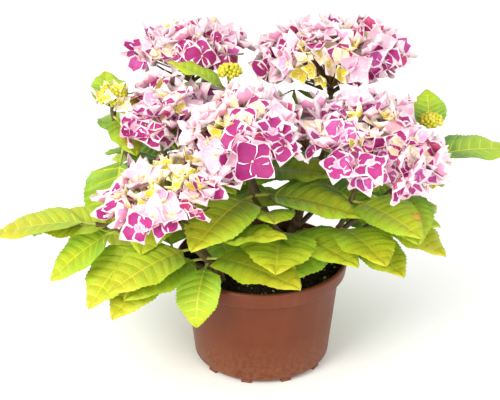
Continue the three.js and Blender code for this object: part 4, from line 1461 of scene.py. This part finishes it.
# %% Buds
green_bead = petal("bud_green", (190, 190, 44), (208, 202, 56), 500)
pale_bead = petal("bud_pale", (222, 208, 84), (212, 202, 66), 500)
beads = []
for i, coat in enumerate((green_bead, green_bead, pale_bead, pale_bead)):
    points, faces = ball(2.3 if i % 2 else 2.7, (0, 0, 0), 6)
    beads.append(build(f"bead_{i}", points, faces, [coat]))
bead_kinds = shelf("bead_kinds", beads)
BUD_LOOK = dict(left=(76, 4, 6), middle=(44, 3, 0), right=(44, 3, 0))  # beads, kinds, open florets
clusters, bud_cores = [], Batch()
for order, (name, (at, radius)) in enumerate(BUDS.items()):
    count, bead_sorts, flowers = BUD_LOOK[name]
    centre = np.array(at, dtype=float)
    given = dict(Wide=0.86 * radius * MM, High=0.62 * radius * MM, Lowest=-0.2, Axis=(0.0, 0.0, 1.0),
                 Centre=tuple(centre * MM), Tilt=0.3, Loose=0.12, Seed=SEEDS["buds"] + order,
                 Obstacle=blades, Clear=0.0, Young_share=0.0, Eye_finish=bead)
    clusters.append(run_tree("beads_" + name, FLORETS, Kinds=bead_kinds, Count=count, First_kind=0,
                             Last_kind=bead_sorts - 1, **given))
    if flowers:
        clusters.append(run_tree("opening_" + name, FLORETS, Kinds=kinds, Count=flowers,
                                 First_kind=SMALL_KINDS[0], Last_kind=SMALL_KINDS[1], Small=0.5,
                                 Large=0.8, **given))
    path = [centre - UP * BUD_STALK, centre - UP * 4, centre, centre + UP * 0.3 * radius]
    bud_cores.add(*tube(path, (SHOOT_TIP, 3.2, 0.62 * radius, 0.35 * radius), 10))
core = bud_cores.build("bud_cores", [green_bead])
buds = joined("bud_clusters", [core, *clusters])
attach(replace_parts(buds, *["bud_" + name for name in BUDS]), "root")
print("bud triangles:", triangles(buds))
cleared(bead_kinds)
cleared(kinds)
dropped(stalk, in_the_way)

# %% [markdown]
# ## Foliage pieces
# Stems and leaves each become one piece. Both stand for all of the solid shoots.

# %% Foliage pieces
shoot_nodes = ["shoot_" + name for name in SHOOTS]
green_stems = stems.build("stems", [stem_skin])
for piece in (green_stems, blades):
    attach(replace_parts(piece, *shoot_nodes), "root")
    print(piece.name, "triangles:", triangles(piece))

# %% [markdown]
# ## Floor and light
# A plain pale floor, a soft light high at the front left, a broad fill from the right front, a
# low warm one from the left and a bright even sky give the clean studio look, with soft shade
# under the leaves.

# %% Floor
floor = build("floor", [(-4000, -4000, 0), (4000, -4000, 0), (4000, 4000, 0), (-4000, 4000, 0)],
              [(0, 1, 2, 3)], smooth=False)
paper = bpy.data.materials.new("paper")
paper.use_nodes = True
Tree(paper.node_tree).shade({"Base Color": (0.96, 0.96, 0.96, 1), "Roughness": 0.9,
                             "Specular IOR Level": 0.1})
floor.data.materials.append(paper)


# %% Lights
def softbox(name, place, size, power, tint):
    light = bpy.data.lights.new(name, "AREA")
    light.shape, light.size, light.energy, light.color = "DISK", size, power, tint
    made = linked(name, light)
    made.location = place
    made.rotation_euler = (LOOK_AT - Vector(place)).to_track_quat("-Z", "Y").to_euler()


softbox("key", (-1.1, -1.4, 1.4), 1.0, 30, (1.0, 0.96, 0.90))
softbox("fill", (0.7, -1.7, 0.55), 1.4, 11, (1.0, 0.98, 0.95))
softbox("low_warm", (-1.5, -0.5, 0.35), 0.8, 5, (1.0, 0.88, 0.62))
world = bpy.data.worlds.new("sky")
bpy.context.scene.world = world
world.use_nodes = True
world.node_tree.nodes["Background"].inputs["Color"].default_value = (1, 1, 1, 1)
world.node_tree.nodes["Background"].inputs["Strength"].default_value = 1.15
bpy.context.scene.view_settings.view_transform = "Standard"
bpy.context.scene.view_settings.look = "None"
